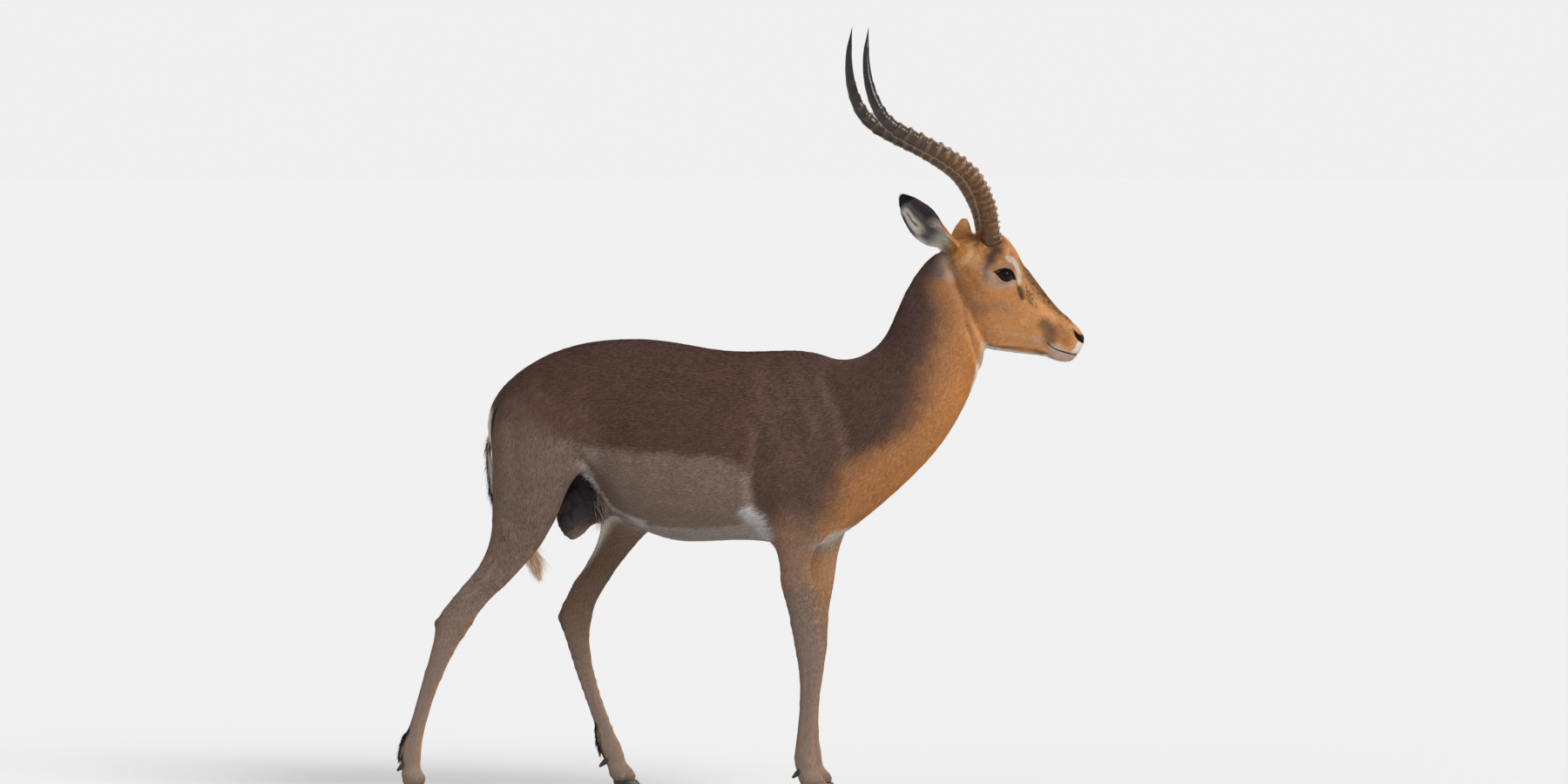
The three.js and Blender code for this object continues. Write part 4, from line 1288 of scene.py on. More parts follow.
def paintMuzzle():
    speckle = ease(-0.2, 0.25, wander(places, 0.0034, 9))
    band = np.interp(a, (20, 50, 90, 120, 140), (20, 28, 22, 17, 12))
    ridge = ease(8, -8, lineGap(face, noseRidge)[0] - band + rough * 0.5)
    lay("ridge", head * ridge * (0.5 + 0.5 * speckle) * ease(12, 44, a))
    lay("ridge", head * ease(12, 5, lineGap(face, darkStreak)[0]) * speckle * 0.8)
    lay("ridge", head * ease(80, 110, a) * ease(-84, -96, u) * (wander(places, 0.0022, 4) > 0.40) * 0.5)
    mouth, way = lineGap(face[:, :2], mouthWork["line"][:, :2])
    above = u - bands(mouthWork["line"][:, :2], a)
    lay("chin", head * ease(1, -3, above) * ease(84, 100, a) * (0.8 + 0.2 * speckle))
    lay("white", head * ease(-0.72, -0.92, nz) * ease(-118, -128, u) * ease(-40, -20, a) * ease(110, 90, a))
    lip = lineGap(face, whiteLip)[0]
    lay("white", nearHead * ease(8.5, 4, lip + rough * 0.2) * ease(0.2, 1.4, above))
    lay("lipEdge", head * ease(-0.5, 1.2, above) * ease(9, 3.5, above + rough * 0.3) * ease(90, 106, a) * 0.8)
    slim = np.interp(way, (0, 0.25, 0.6, 1), (0.2, 0.5, 1.0, 0.9))
    lay("mouthLine", nearHead * ease(0.7, 0.0, mouth - slim) * (a > 84) * ease(-0.02, 0.06, way))
    # the bare pad of the nose, within its back, lower and inner edges
    back = np.interp(u, (-132, -128, -121, -112, -104), (156, 150, 144.5, 141, 139.5))
    pad = np.minimum(a - back, np.interp(a, (138, 144, 149, 160), (-103, -108.5, -114, -117)) - u)
    pad = np.minimum(pad, u + 133 + np.maximum(12 - o, 0) * 0.25)
    lay("black", nearHead * ease(-0.6, 0.8, pad) * (a > 130))
    throat = lineGap(places / mm, np.array([fromFace(*spot) for spot in throatPatch]) / mm)[0]
    lay("white", ease(29, 19, throat + rough) * (1 - 0.5 * head) * ease(0.0, 0.4, nx - nz * 0.6))


def paintLids():
    for side in sides:
        ex, ey, ew, edge = lidMeasures(side, places)
        near = (gapTo(places, eyeAt[side]) < 0.030) & (ew > -4)
        lay("lid", near * ease(3.0, 1.9, edge + np.where(ey > 0, -0.5, 0.3)))
        for line, reach in lidMarks:
            gap = lineGap(np.column_stack([ex, ey]), line)[0]
            lay("lid", near * ease(reach + 0.8, reach - 0.8, gap))


def paintEars():
    for side in sides:
        mine = np.clip(part["ear"] * 1.25, 0, 1) * isOn(places, side)
        way, wide, facing = earMeasures(side, places, softNormals)
        inside = mine * ease(-0.05, 0.35, facing) * ease(0.04, 0.12, way)
        t = wide / earReach(side, way)
        waves = wander(places, 0.011, 21) * 0.12
        lay("earBack", mine)
        lay("earInside", inside)
        for name, middle, shift, across, start, end, amount in earMarks:
            stripe = ease(*across, np.abs(t - middle - waves * shift))
            lay(name, inside * stripe * ease(*start, way) * ease(*end, way) * amount)
        streak = 0.5 + 0.5 * np.cos((way * 60 + t * 5.0) * 1.1 + waves * 25)
        lay("white", inside * ease(-0.35, 0.2, t) * ease(0.52, 0.36, way) * (0.25 + 0.6 * streak))
        lay("white", inside * ease(0.34, 0.16, way) * 0.75)
        lay("white", mine * ease(-0.70, -0.92, t) * ease(0.52, 0.34, way) * ease(-0.6, 0.1, facing) * 0.8)
        rim = ease(0.76, 0.88, np.abs(t)) * ease(-0.75, -0.2, facing)
        lay("black", mine * rim * np.where(t > 0, ease(0.30, 0.42, way), ease(0.45, 0.6, way)) * 0.85)
        lay("cream", mine * ease(0.1, -0.2, facing) * ease(-0.75, -0.95, t) * ease(0.5, 0.3, way) * 0.6)
        lay("black", mine * ease(0.835, 0.86, way + rough * 0.003 + 0.03 * t))


for paint in (paintBack, paintTan, paintUnder, paintRump, paintTail, paintGroin, paintHocks, paintFace,
              paintMuzzle, paintLids, paintEars):
    paint()
store(skinMesh, "coat", "FLOAT_COLOR", colour)
say("skin painted")


# The lie of the coat: back from the nose, down the neck and legs, back along the body

lieWays = {
    "trunk": (-1, 0, -0.28), "neck": (-0.62, 0, -0.78), "foreleg": (-0.12, 0, -1), "hindleg": (-0.3, 0, -1),
    "tail": (0.1, 0, -1), "scrotum": (0, 0, -1), "sheath": (0.4, 0, -1), "head": (-1, 0, 0), "ear": (0, 0, 1),
}


def inSkin(way):
    # the part of a direction that runs along the skin
    return way - normals * (way * normals).sum(1)[:, None]


def lieOfCoat():
    lie = np.zeros_like(places)
    for name, way in lieWays.items():
        lie += part[name][:, None] * unit(way)
    lie += part["head"][:, None] * (unit(places - fromFace(165, -118, 0)) - unit(lieWays["head"]))
    for side in sides:
        lie += (part["ear"] * isOn(places, side))[:, None] * (earAxes(side)[0] - upwards)
    lie = evened(lie, edges, 30)
    lie = evened(lie, edges, 170, 0.5 * ease(-50, -80, a) * (gapTo(places, headMiddle) < 0.2))
    return unit(inSkin(lie))


lie = lieOfCoat()
store(skinMesh, "lie", "FLOAT_VECTOR", lie)

hairLengths = {     # mm, before the head, the neck and the shanks get their own
    "trunk": 15, "neck": 17, "head": 8, "ear": 7, "foreleg": 9, "hindleg": 12, "tail": 17,
    "scrotum": 4, "sheath": 9,
}


def hairOnSkin():
    # mm of hair, and how thick it stands, at each corner, and where an ear's root is
    length = sum(part[k] * v for k, v in hairLengths.items())
    length = np.where(head > 0.5, np.interp(a, [-90, -40, 60, 150], [12, 8, 5.5, 2.8]), length)
    length = np.where((part["neck"] > 0.4) & (head <= 0.5), np.interp(-a, (90, 230), (11.5, 17)), length)
    low = np.interp(z, (50, 66, 150, 300, 430), (7.0, 3.6, 4.2, 5.5, 9))
    length = np.minimum(length, low + 20 * (z > 430))
    thick = 1 - np.clip(part["scrotum"] * 1.4, 0, 1) * 0.3
    for side in sides:
        _, _, ew, edge = lidMeasures(side, places)
        near = (gapTo(places, eyeAt[side]) < 0.030) & (ew > -6)
        thick[near & (edge < 3.4)] = 0
        length[near] = np.minimum(length[near], 2.4 + np.clip(edge[near] - 4, 0, 20) * 0.28)
    # none in the nostrils, along the mouth and on the nose
    thick[(lineGap(face, mouthWork["nostril"])[0] < 5.5) & (a > 125)] = 0
    thick[(lineGap(face[:, :2], mouthWork["line"][:, :2])[0] < 1.7) & (a > 86)] = 0
    thick[(o < 16) & (a > 148) & (u > -137) & (u < -102)] = 0
    mouth = lineGap(face, mouthWork["line"])[0]
    near = (mouth < 9) & (a > 80)
    length[near] = np.minimum(length[near], 2.0 + mouth[near] * 0.25)
    root = np.zeros(len(places))
    for side in sides:
        way, _, facing = earMeasures(side, places, softNormals)
        mine = isOn(places, side)
        thick[(part["ear"] > 0.6) & mine & (facing > 0.2)] *= 0.45
        root = np.maximum(root, (part["ear"] > 0.05) * mine * ease(0.36, 0.26, way))
    return np.maximum(length, root * 10), np.clip(thick, 0, 1), root


length, thick, earRootHere = hairOnSkin()
store(skinMesh, "hairLength", "FLOAT", length * mm)
shank = z <= 420
headHere = part["head"] + earRootHere * 1.2
regions = {
    "onRight": part["trunk"] * (y < 0), "onLeft": part["trunk"] * (y >= 0), "onNeck": part["neck"],
    "onHeadRight": headHere * isOn(places, "right"), "onHeadLeft": headHere * isOn(places, "left"),
    "onFore": fore * ~shank, "onForeShank": fore * shank,
    "onHind": part["hindleg"] * ~shank, "onHindShank": part["hindleg"] * shank,
    "onEars": part["ear"], "onTail": part["tail"], "onUnder": part["scrotum"] + part["sheath"],
}
top = np.argmax(np.column_stack(list(regions.values())), axis=1)
for k, name in enumerate(regions):
    store(skinMesh, name, "FLOAT", (top == k) * thick)


def onEarsAndLids():
    # the fringe inside each ear and the lashes: where they stand, and their lie
    fringe, lashes = np.zeros((2, len(places)), bool)
    fringeLie, lashLie = np.zeros((2, *places.shape))
    for side in sides:
        mine = (part["ear"] > 0.35) & isOn(places, side)
        way, wide, facing = earMeasures(side, places, softNormals)
        along, _, across = earAxes(side)
        t = wide / earReach(side, way)
        front = mine & (facing > 0.1) & (t > 0.1) & (t < 0.8) & (way > 0.12) & (way < 0.40)
        fringe |= front
        fringeLie[front] = along * 0.8 - across * 0.6
        ex, ey, ew, edge = lidMeasures(side, places)
        out, ahead, up = eyeAxes(side)
        lid = (ey > 1.5) & (edge > 0.2) & (edge < 1.7) & (ex > -14) & (ew > 5)
        lid &= gapTo(places, eyeAt[side]) < 0.03
        lashes |= lid
        lashLie[lid] = out * 1.0 - up * 0.25 + np.outer(ex[lid] * 0.03, ahead)
    return fringe, fringeLie, lashes, lashLie


def longHairs():
    # where hair stands longer than the coat: where, mm, its own lie, and its own colour
    found = {}
    tail = part["tail"] > 0.5
    apart = np.outer(np.sign(y), (0, 1, 0))
    found["tailSides"] = (tail & (z > 560) & (z < 735), 25, np.array([0.3, 0, -1]) + apart * 0.3)
    hang = unit(np.array([-0.396, 0, 0.36]) - places) + apart * 0.08
    found["brush"] = (tail & (z < 575), np.clip((z - 432) * 0.8, 20, 64), hang, "brush")
    flat = np.array([1, 1, 0.5])
    glands = [gapTo(places * flat, backOfLeg(side, 0.12, 0.9) * flat) < 0.0145 for side in sides]
    found["gland"] = (glands[0] | glands[1], 15, np.array([-0.3, 0, -1]))
    fringe, fringeLie, lashes, lashLie = onEarsAndLids()
    found["earHair"] = (fringe, 13, fringeLie, "cream")
    found["lashes"] = (lashes, 6.5, lashLie)
    beneath = (part["sheath"] > 0.4) & (normals[:, 2] < 0.2)
    found["sheathHair"] = (beneath, 24, np.array([0.25, 0, -1]), "chin")
    chin = (a > 96) & (a < 138) & (u < -150) & (o < 22)
    found["chinHair"] = (chin, 6.5, np.array([-0.55, 0, -0.8]))
    offEars = part["ear"] < 0.5
    outwards = np.outer(np.sign(inFace(places)[:, 2]), faceLeft)
    temple = lineGap(face, ((-50, 44, 49), (-72, 46, 47), (-92, 36, 44), (-98, 14, 46)))[0]
    found["templeHair"] = ((temple < 16) & offEars, 10, lie - upwards * 0.3 + outwards * 0.1, "whorl")
    crown = lineGap(face, ((-106, 56, 24), (-82, 72, 15), (-52, 77, 9), (-30, 78, 3)))[0]
    found["crownHair"] = ((crown < 17) & offEars, 15, -faceAhead + upwards * 0.15 + outwards * 0.1)
    seat = lineGap(face, ((-4, 44, 5), (-31, 114, 45)))[0]
    raised = -faceAhead * 0.3 + upwards * 1.0 + outwards * 0.55
    found["hornRing"] = ((seat < 28.5) & (u > 34) & offEars, 9, raised)
    return found


# Materials

def nodesIn(tree):
    # a short way to add a node: each input is a value, or a socket to link
    def node(kind, inputs=None, **settings):
        made = tree.nodes.new(kind)
        for key, value in settings.items():
            setattr(made, key, value)
        for key, value in (inputs or {}).items():
            socket = made.inputs[key]
            if isinstance(value, bpy.types.NodeSocket):
                tree.links.new(value, socket)
            else:
                socket.default_value = value
        return made.outputs
    return node


def newLook(name):
    look = bpy.data.materials.new(name)
    look.use_nodes = True
    look.node_tree.nodes.clear()
    return look, nodesIn(look.node_tree)


def surface(node, inputs):
    shader = node("ShaderNodeBsdfPrincipled", inputs)
    node("ShaderNodeOutputMaterial", {"Surface": shader["BSDF"]})


def marked(node, name, output="Vector"):
    return node("ShaderNodeAttribute", attribute_name=name)[output]


def axesOf(node, vector):
    return node("ShaderNodeSeparateXYZ", {0: vector})


def grain(node, place, scale, detail, **more):
    return node("ShaderNodeTexNoise", {"Vector": place, "Scale": scale, "Detail": detail, **more})["Fac"]


def ranged(node, value, low, high, first=0.0, last=1.0):
    return node("ShaderNodeMapRange", {"Value": value, "From Min": low, "From Max": high,
                                       "To Min": first, "To Max": last})["Result"]


def bumped(node, height, strength, depth):
    return node("ShaderNodeBump", {"Strength": strength, "Distance": depth, "Height": height})["Normal"]


def mixed(node, kind, share, a, b):
    return node("ShaderNodeMix", {0: share, 6: a, 7: b}, data_type="RGBA", blend_type=kind)[2]


def shaded(node, base, tones, share=1.0):
    # a colour multiplied by each tone in turn
    for tone in tones:
        base = mixed(node, "MULTIPLY", share, base, tone)
    return base


def rgba(colour):
    return (*toLight(colour), 1)


def grey(v):
    return (v, v, v, 1)


def ramp(node, value, *stops):
    # colours from 0 to 255, or a grey from 0 to 1, at places from 0 to 1
    made = node("ShaderNodeValToRGB", {"Fac": value})
    colours = made["Color"].node.color_ramp
    while len(colours.elements) < len(stops):
        colours.elements.new(0.5)
    for stop, (place, colour) in zip(colours.elements, stops):
        stop.position = place
        stop.color = grey(colour) if isinstance(colour, float) else rgba(colour)
    return made["Color"]


def hideLook():
    # short hair, as fine grain that runs along the coat's lie
    look, node = newLook("shortCoat")
    spot = node("ShaderNodeTexCoord")["Object"]
    along = node("ShaderNodeMath", {0: axesOf(node, marked(node, "lie"))["Z"]}, operation="ABSOLUTE")[0]
    runs = []
    for turn, stretch in (((0, 0.25, 0), (0.09, 1, 1)), ((0, 0, 0), (1, 1, 0.09))):
        place = node("ShaderNodeMapping", {"Vector": spot, "Rotation": turn, "Scale": stretch})["Vector"]
        runs.append(grain(node, place, 760.0, 3.0, Roughness=0.6))
    share = ranged(node, along, 0.35, 0.8)
    hair = node("ShaderNodeMix", {0: share, 2: runs[0], 3: runs[1]}, data_type="FLOAT")[0]
    tone = ramp(node, hair, (0.3, 0.70), (0.7, 1.0))
    slow = ramp(node, grain(node, spot, 34.0, 4.0), (0.3, 0.90), (0.7, 1.0))
    base = shaded(node, marked(node, "coat", "Color"), (tone, slow))
    surface(node, {"Base Color": base, "Roughness": 0.62, "Normal": bumped(node, hair, 0.45, 0.0006),
                   "Specular IOR Level": 0.15})
    return look


def tuftLook():
    look, node = newLook("coatTufts")
    tip = ramp(node, axesOf(node, marked(node, "strand"))["Y"], (0.0, 0.82), (0.5, 0.96), (1.0, 1.0))
    tone = ramp(node, marked(node, "tone", "Fac"), (0.0, 0.89), (1.0, 1.0))
    base = shaded(node, marked(node, "coat", "Color"), (tip, tone))
    brighter = node("ShaderNodeHueSaturation", {"Color": base, "Value": 1.12, "Saturation": 1.0})["Color"]
    surface(node, {"Base Color": brighter, "Roughness": 0.8, "Specular IOR Level": 0.06})
    return look


def hornLook():
    # amber at the root and near black at the tip, cracked below and polished above
    look, node = newLook("horn")
    along, ring, _ = axesOf(node, marked(node, "horn"))
    spot = node("ShaderNodeTexCoord")["Object"]
    base = ramp(node, along, (0.0, (100, 64, 34)), (0.13, (156, 102, 48)), (0.36, (172, 118, 56)),
                (0.50, (122, 86, 48)), (0.62, (84, 62, 44)), (0.80, (50, 40, 37)), (1.0, (38, 32, 32)))
    cracks = grain(node, spot, 520.0, 6.0, Roughness=0.75)
    mottled = grain(node, spot, 190.0, 5.0, Roughness=0.6, Distortion=1.5)
    low = ranged(node, along, 0.40, 0.62, 1.0, 0.35)
    base = shaded(node, base, (ramp(node, mottled, (0.34, (132, 104, 84)), (0.56, 1.0)),
                               ramp(node, cracks, (0.36, 0.5), (0.55, 1.0))), low)
    base = shaded(node, base, [ramp(node, grain(node, spot, 60.0, 4.0), (0.32, 0.62), (0.62, 1.0))])
    # painted shade in the grooves between the rings, and a painted highlight on the rings' crests
    base = shaded(node, base, [ramp(node, ring, (0.0, 0.34), (0.22, 1.0))], 0.8)
    base = mixed(node, "MIX", ranged(node, ring, 0.26, 0.95, 0.0, 0.5), base, rgba((178, 150, 112)))
    surface(node, {"Base Color": base, "Roughness": ranged(node, along, 0.3, 0.8, 0.42, 0.22),
                   "Normal": bumped(node, mottled, low, 0.0007)})
    return look


def eyeLook():
    look, node = newLook("eye")
    place = axesOf(node, marked(node, "look"))

    def ring(wide, tall):
        # 1 on the rim of an oval round the eye's axis
        x = node("ShaderNodeMath", {0: place["X"], 1: wide}, operation="DIVIDE")[0]
        y = node("ShaderNodeMath", {0: place["Y"], 1: tall}, operation="DIVIDE")[0]
        flat = node("ShaderNodeCombineXYZ", {"X": x, "Y": y})[0]
        return node("ShaderNodeVectorMath", {0: flat}, operation="LENGTH")["Value"]
    iris = ramp(node, ring(ballWork["iris"], ballWork["iris"]), (0.0, (22, 13, 9)), (0.75, (30, 18, 12)),
                (0.93, (16, 10, 8)), (1.0, (30, 22, 19)))
    flecks = grain(node, marked(node, "look"), 0.9, 5.0)
    iris = shaded(node, iris, [ramp(node, flecks, (0.3, 0.6), (0.7, 1.0))])
    pupil = ramp(node, ring(ballWork["pupilLong"], ballWork["pupilTall"]), (0.86, 0.0), (1.0, 1.0))
    base = mixed(node, "MIX", pupil, (0.004, 0.004, 0.006, 1), iris)
    surface(node, {"Base Color": base, "Roughness": 0.06, "IOR": 1.22})
    return look


def hoofLook():
    # dark, with the level lines of growth and pale scuffs
    look, node = newLook("hoof")
    spot = node("ShaderNodeTexCoord")["Object"]
    rings = node("ShaderNodeMapping", {"Vector": spot, "Scale": (0.15, 0.15, 1)})["Vector"]
    growth = grain(node, rings, 300.0, 3.0)
    scuffs = ramp(node, grain(node, spot, 160.0, 5.0, Roughness=0.65), (0.55, 0.0), (0.8, 0.35))
    base = ramp(node, growth, (0.3, (24, 21, 20)), (0.7, (52, 44, 39)))
    surface(node, {"Base Color": mixed(node, "MIX", scuffs, base, rgba((104, 92, 80))), "Roughness": 0.42,
                   "Normal": bumped(node, growth, 0.4, 0.0004)})
    return look


# The coat: tufts of hair on the skin, along its lie

def tuftShape(name, rows):
    # a slim closed lock: x across, y outwards, z from root to tip, each 1 long
    places, marks, faces = [(0, -0.3, 0)], [(0.5, 0, 0)], []
    for z, wide, high, sink in rows:
        first = len(places)
        for x, y, u in ((-0.5, 0, 0), (0.5, 0, 1), (0, 0.5, 0.5)):
            places.append((x * wide, y * high + sink, z))
            marks.append((u, z, 0))
        before = first - 3
        for k in range(3):
            j = (k + 1) % 3
            if first == 1:
                faces.append((0, first + j, first + k))
            else:
                faces += [(before + k, before + j, first + j), (before + k, first + j, first + k)]
    tip = len(places)
    places.append((0, rows[-1][3] - 0.25, 1))
    marks.append((0.5, 1, 0))
    faces += [(tip - 3 + k, tip - 3 + (k + 1) % 3, tip) for k in range(3)]
    return newPiece(name, shellOf(name, places, faces, "strand", marks))


shortTuft = tuftShape("shortTuft", ((0.36, 1.0, 1.0, 0.0),))
longTuft = tuftShape("longTuft", ((0.2, 0.8, 0.8, 0.0), (0.55, 1.0, 1.0, -0.1), (0.82, 0.6, 0.6, -0.5)))


treeWork = {
    "lifted": (0.4, 1.6), "longer": (0.7, 1.25), "wider": (0.7, 1.3),   # at random, times the usual
    "finer": 0.6,          # power of how short the hair is, for the tuft's width and height
    "patch": 0.003,        # of the skin's map, that one tuft covers
}


def coatTree():
    tree = bpy.data.node_groups.new("coatOnSkin", "GeometryNodeTree")
    face = tree.interface
    face.new_socket("Geometry", in_out="INPUT", socket_type="NodeSocketGeometry")
    for kind, names in (("String", "Region"), ("Float", "Spacing Width Thickness Lift Scatter Usual"),
                        ("Int", "Seed"), ("Object", "Tuft"), ("Material", "Material")):
        for name in names.split():
            face.new_socket(name, in_out="INPUT", socket_type="NodeSocket" + kind)
    face.new_socket("Geometry", in_out="OUTPUT", socket_type="NodeSocketGeometry")
    node = nodesIn(tree)

    def math2(operation, a, b):
        return node("ShaderNodeMath", {0: a, 1: b}, operation=operation)[0]

    def vector(operation, a, b):
        second = "Scale" if operation == "SCALE" else 1
        return node("ShaderNodeVectorMath", {0: a, second: b}, operation=operation)["Vector"]

    def named(name, kind):
        return node("GeometryNodeInputNamedAttribute", {"Name": name}, data_type=kind)["Attribute"]

    def stored(geometry, name, value, kind, domain="POINT"):
        return node("GeometryNodeStoreNamedAttribute", {"Geometry": geometry, "Name": name, "Value": value},
                    data_type=kind, domain=domain)["Geometry"]

    def without(geometry, name):
        return node("GeometryNodeRemoveAttribute", {"Geometry": geometry, "Name": name})["Geometry"]

    def chance(low, high, seed, kind="FLOAT"):
        own = math2("ADD", given["Seed"], float(seed))
        made = node("FunctionNodeRandomValue", {"Seed": own}, data_type=kind)
        first, output = (0, 0) if kind == "FLOAT_VECTOR" else (2, 1)
        sockets = made[0].node.inputs
        sockets[first].default_value, sockets[first + 1].default_value = low, high
        return made[output]

    # points on the region, evenly apart
    given = node("NodeGroupInput")
    most = math2("DIVIDE", 2.0, math2("MULTIPLY", given["Spacing"], given["Spacing"]))
    where = named(given["Region"], "FLOAT")
    spread = node("GeometryNodeDistributePointsOnFaces", {
        "Mesh": given["Geometry"], "Distance Min": given["Spacing"], "Density Max": most,
        "Density Factor": where, "Seed": given["Seed"]}, distribute_method="POISSON")
    points = stored(spread["Points"], "rootPatch", named("OFBake", "FLOAT_VECTOR"), "FLOAT_VECTOR")
    points = without(stored(points, "tone", chance(0.0, 1.0, 11), "FLOAT"), "OFBake")
    # each tuft along the lie, lifted off the skin and scattered a little
    outward = spread["Normal"]
    rise = math2("MULTIPLY", given["Lift"], chance(*treeWork["lifted"], 5))
    way = vector("ADD", named("lie", "FLOAT_VECTOR"), vector("SCALE", outward, rise))
    loose = vector("SCALE", chance((-1, -1, -1), (1, 1, 1), 7, "FLOAT_VECTOR"), given["Scatter"])
    way = vector("NORMALIZE", vector("ADD", way, loose), (0, 0, 0))
    turn = node("FunctionNodeAxesToRotation", {"Primary Axis": way, "Secondary Axis": outward},
                primary_axis="Z", secondary_axis="Y")["Rotation"]
    # as long as the hair is there, and finer where it is short
    long = math2("MULTIPLY", named("hairLength", "FLOAT"), chance(*treeWork["longer"], 3))
    fine = math2("POWER", math2("DIVIDE", named("hairLength", "FLOAT"), given["Usual"]), treeWork["finer"])
    slim = math2("MULTIPLY", math2("MULTIPLY", given["Width"], chance(*treeWork["wider"], 4)), fine)
    high = math2("MULTIPLY", given["Thickness"], fine)
    size = node("ShaderNodeCombineXYZ", {"X": slim, "Y": high, "Z": long})[0]
    tuft = node("GeometryNodeObjectInfo", {"Object": given["Tuft"]})["Geometry"]
    placed = node("GeometryNodeInstanceOnPoints",
                  {"Points": points, "Instance": tuft, "Rotation": turn, "Scale": size})
    real = node("GeometryNodeRealizeInstances", {"Geometry": placed["Instances"]})["Geometry"]
    # its patch of the skin's own map
    strand = vector("SUBTRACT", named("strand", "FLOAT_VECTOR"), (0.5, 0.5, 0))
    patch = vector("ADD", named("rootPatch", "FLOAT_VECTOR"), vector("SCALE", strand, treeWork["patch"]))
    real = stored(real, "OFBake", patch, "FLOAT2", "CORNER")
    for spare in ("rootPatch", "lie", "hairLength", *regions):
        real = without(real, spare)
    real = node("GeometryNodeSetMaterial", {"Geometry": real, "Material": given["Material"]})["Geometry"]
    node("NodeGroupOutput", {"Geometry": real})
    return tree


coatWork = {
    # region, spacing, width, thickness and usual length (mm), lift, scatter, seed
    "coatRight": ("onRight", 2.2, 1.4, 0.5, 15, 0.05, 0.045, 1),
    "coatLeft": ("onLeft", 2.2, 1.4, 0.5, 15, 0.05, 0.045, 2),
    "coatNeck": ("onNeck", 1.9, 1.3, 0.5, 17, 0.055, 0.05, 3),
    "coatHeadRight": ("onHeadRight", 1.18, 0.66, 0.2, 7, 0.05, 0.07, 4),
    "coatHeadLeft": ("onHeadLeft", 1.18, 0.66, 0.2, 7, 0.05, 0.07, 14),
    "coatForelegs": ("onFore", 1.8, 1.05, 0.36, 9, 0.045, 0.04, 5),
    "coatForeShanks": ("onForeShank", 1.35, 0.9, 0.26, 8, 0.045, 0.05, 15),
    "coatHindlegs": ("onHind", 2.2, 1.25, 0.42, 11, 0.045, 0.04, 6),
    "coatHindShanks": ("onHindShank", 1.45, 0.95, 0.27, 8, 0.045, 0.05, 16),
    "coatEars": ("onEars", 1.6, 0.7, 0.25, 7, 0.06, 0.08, 7),
    "coatTail": ("onTail", 2.4, 1.3, 0.7, 17, 0.14, 0.12, 8),
    "coatUnder": ("onUnder", 1.7, 0.8, 0.3, 6, 0.1, 0.12, 9),
}
longWork = {
    # as above, grown where longHairs says
    "tailSides": (2.3, 1.2, 0.8, 27, 0.25, 0.14, 21),
    "brush": (1.35, 1.25, 0.8, 58, 0.05, 0.05, 22),
    "gland": (1.25, 1.3, 0.7, 15, 0.22, 0.14, 23),
    "earHair": (1.5, 0.42, 0.3, 10, 0.05, 0.07, 24),
    "lashes": (0.9, 0.32, 0.32, 6.5, 0.0, 0.16, 25),
    "sheathHair": (4.0, 0.8, 0.6, 24, 0.2, 0.25, 26),
    "chinHair": (4.2, 0.45, 0.4, 6.5, 0.3, 0.3, 27),
    "templeHair": (2.3, 0.75, 0.3, 13, 0.12, 0.08, 28),
    "crownHair": (2.0, 0.8, 0.4, 15, 0.42, 0.14, 29),
    "hornRing": (1.7, 0.75, 0.35, 9, 0.12, 0.14, 30),
}


def unwrapSkin():
    bpy.context.view_layer.objects.active = skin
    skin.select_set(True)
    skinMesh.uv_layers.new(name="OFBake")
    bpy.ops.object.mode_set(mode="EDIT")
    bpy.ops.mesh.select_all(action="SELECT")
    bpy.ops.uv.smart_project(angle_limit=1.15, island_margin=0.002)
    bpy.ops.object.mode_set(mode="OBJECT")
    skin.select_set(False)


unwrapSkin()
say("skin unwrapped")
tuftMaterial = tuftLook()
tree = coatTree()
inputOf = {item.name: item.identifier for item in tree.interface.items_tree if item.in_out == "INPUT"}
coats = []


def grownCoat(name, region, sizes, tuft, own=None):
    spacing, width, thickness, usual, lift, scatter, seed = sizes
    mesh = skinMesh.copy()
    if own:
        where, long, way, *shade = own
        store(mesh, region, "FLOAT", where)
        store(mesh, "hairLength", "FLOAT", np.broadcast_to(np.asarray(long, np.float32) * mm, len(places)))
        store(mesh, "lie", "FLOAT_VECTOR", unit(way if name == "lashes" else inSkin(way)))
        if shade:
            store(mesh, "coat", "FLOAT_COLOR", np.tile(shadeOf[shade[0]], (len(places), 1)))
    piece = newPiece(name, mesh)
    grow = piece.modifiers.new("coat", "NODES")
    grow.node_group = tree
    for key, value in (("Region", region), ("Spacing", spacing * mm), ("Width", width * mm),
                       ("Thickness", thickness * mm), ("Lift", lift), ("Scatter", scatter),
                       ("Usual", usual * mm), ("Seed", seed), ("Tuft", tuft), ("Material", tuftMaterial)):
        grow[inputOf[key]] = value
    say(f"{name}: {triangles(finished(piece))} triangles")
    coats.append(piece)


for name, (region, *sizes) in coatWork.items():
    grownCoat(name, region, sizes, shortTuft)
for name, own in longHairs().items():
    grownCoat(name, "onTail", longWork[name], longTuft, own)
for tool in (shortTuft, longTuft):
    bpy.data.objects.remove(tool)

skinMesh.materials.clear()
skinMesh.polygons.foreach_set("material_index", np.zeros(len(skinMesh.polygons), np.int32))
for look, pieces in ((hideLook(), [skin]), (hornLook(), horns.values()), (hoofLook(), (hooves, dewClaws)),
                     (eyeLook(), eyeballs.values())):
    for piece in pieces:
        piece.data.materials.append(look)


# Camera, light and floor

stageWork = {
    "target": (0.0868, 0.0024, 0.807), "distance": 18.0, "azimuth": 6.0, "elevation": 2.5,
    "seenWidth": 3.06,     # metres across the view, at the target
    "sensor": 36,
    "floorTone": 0.80, "floorRadius": 60, "skyTone": 0.87, "sky": 0.52,
    "lamps": {             # strength, width in degrees, the way it shines
        "key": (2.3, 28, (-0.62, 0.50, -0.60)),
        "fill": (0.3, 60, (0.65, 0.55, -0.50)),
        "far": (1.1, 50, (-0.25, -0.80, -0.55)),
    },
}


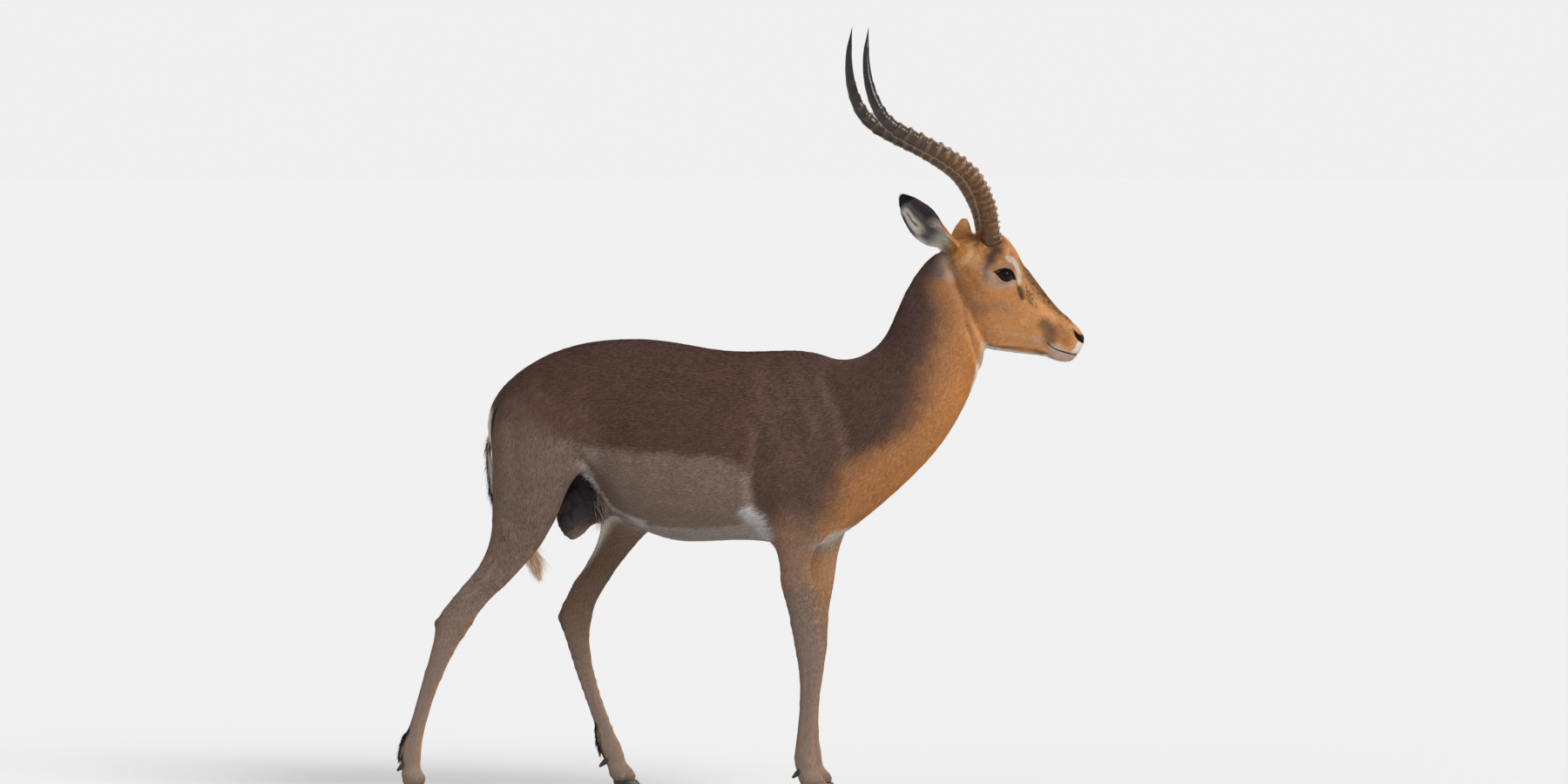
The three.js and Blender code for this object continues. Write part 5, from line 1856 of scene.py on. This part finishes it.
def stageSet():
    scene = bpy.context.scene
    camera = bpy.data.objects.new("camera", bpy.data.cameras.new("camera"))
    scene.collection.objects.link(camera)
    azimuth, elevation = math.radians(stageWork["azimuth"]), math.radians(stageWork["elevation"])
    back = Vector((math.sin(azimuth) * math.cos(elevation), -math.cos(azimuth) * math.cos(elevation),
                   math.sin(elevation)))
    camera.location = Vector(stageWork["target"]) + back * stageWork["distance"]
    camera.rotation_mode = "QUATERNION"
    camera.rotation_quaternion = back.to_track_quat("Z", "Y")
    camera.data.sensor_width = stageWork["sensor"]
    camera.data.lens = stageWork["sensor"] * stageWork["distance"] / stageWork["seenWidth"]
    camera.data.clip_end = 400
    scene.camera = camera
    for name, (strength, wide, aim) in stageWork["lamps"].items():
        lamp = bpy.data.objects.new(name, bpy.data.lights.new(name, "SUN"))
        lamp.data.energy, lamp.data.angle = strength, math.radians(wide)
        lamp.rotation_mode = "QUATERNION"
        lamp.rotation_quaternion = Vector(aim).to_track_quat("-Z", "Y")
        scene.collection.objects.link(lamp)
    world = bpy.data.worlds.new("sky")
    scene.world = world
    world.use_nodes = True
    world.node_tree.nodes.clear()
    node = nodesIn(world.node_tree)
    light = node("ShaderNodeBackground", {"Strength": stageWork["sky"]})[0]
    plain = node("ShaderNodeBackground", {"Color": grey(stageWork["skyTone"])})[0]
    seen = node("ShaderNodeLightPath")["Is Camera Ray"]
    both = node("ShaderNodeMixShader", {0: seen, 1: light, 2: plain})[0]
    node("ShaderNodeOutputWorld", {"Surface": both})
    floorMesh = bpy.data.meshes.new("floor")
    radius = stageWork["floorRadius"]
    turns = np.linspace(0, 2 * math.pi, 64, endpoint=False)
    ring = [(radius * math.cos(t), radius * math.sin(t), -0.0005) for t in turns]
    floorMesh.from_pydata(ring, [], [tuple(range(len(ring)))])
    look, node = newLook("floor")
    surface(node, {"Base Color": grey(stageWork["floorTone"]), "Roughness": 0.9, "Specular IOR Level": 0.0})
    floor = newPiece("floor", floorMesh, look)
    scene.view_settings.view_transform = "Standard"


stageSet()

for piece in (skin, hooves, dewClaws, *eyeballs.values(), *horns.values(), *coats):
    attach(piece, "root")
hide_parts(*fleshNodes)
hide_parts(*hoofNodes)
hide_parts(*clawNodes)
for side in sides:
    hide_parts("horn_" + side)
    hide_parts("eye_" + side)
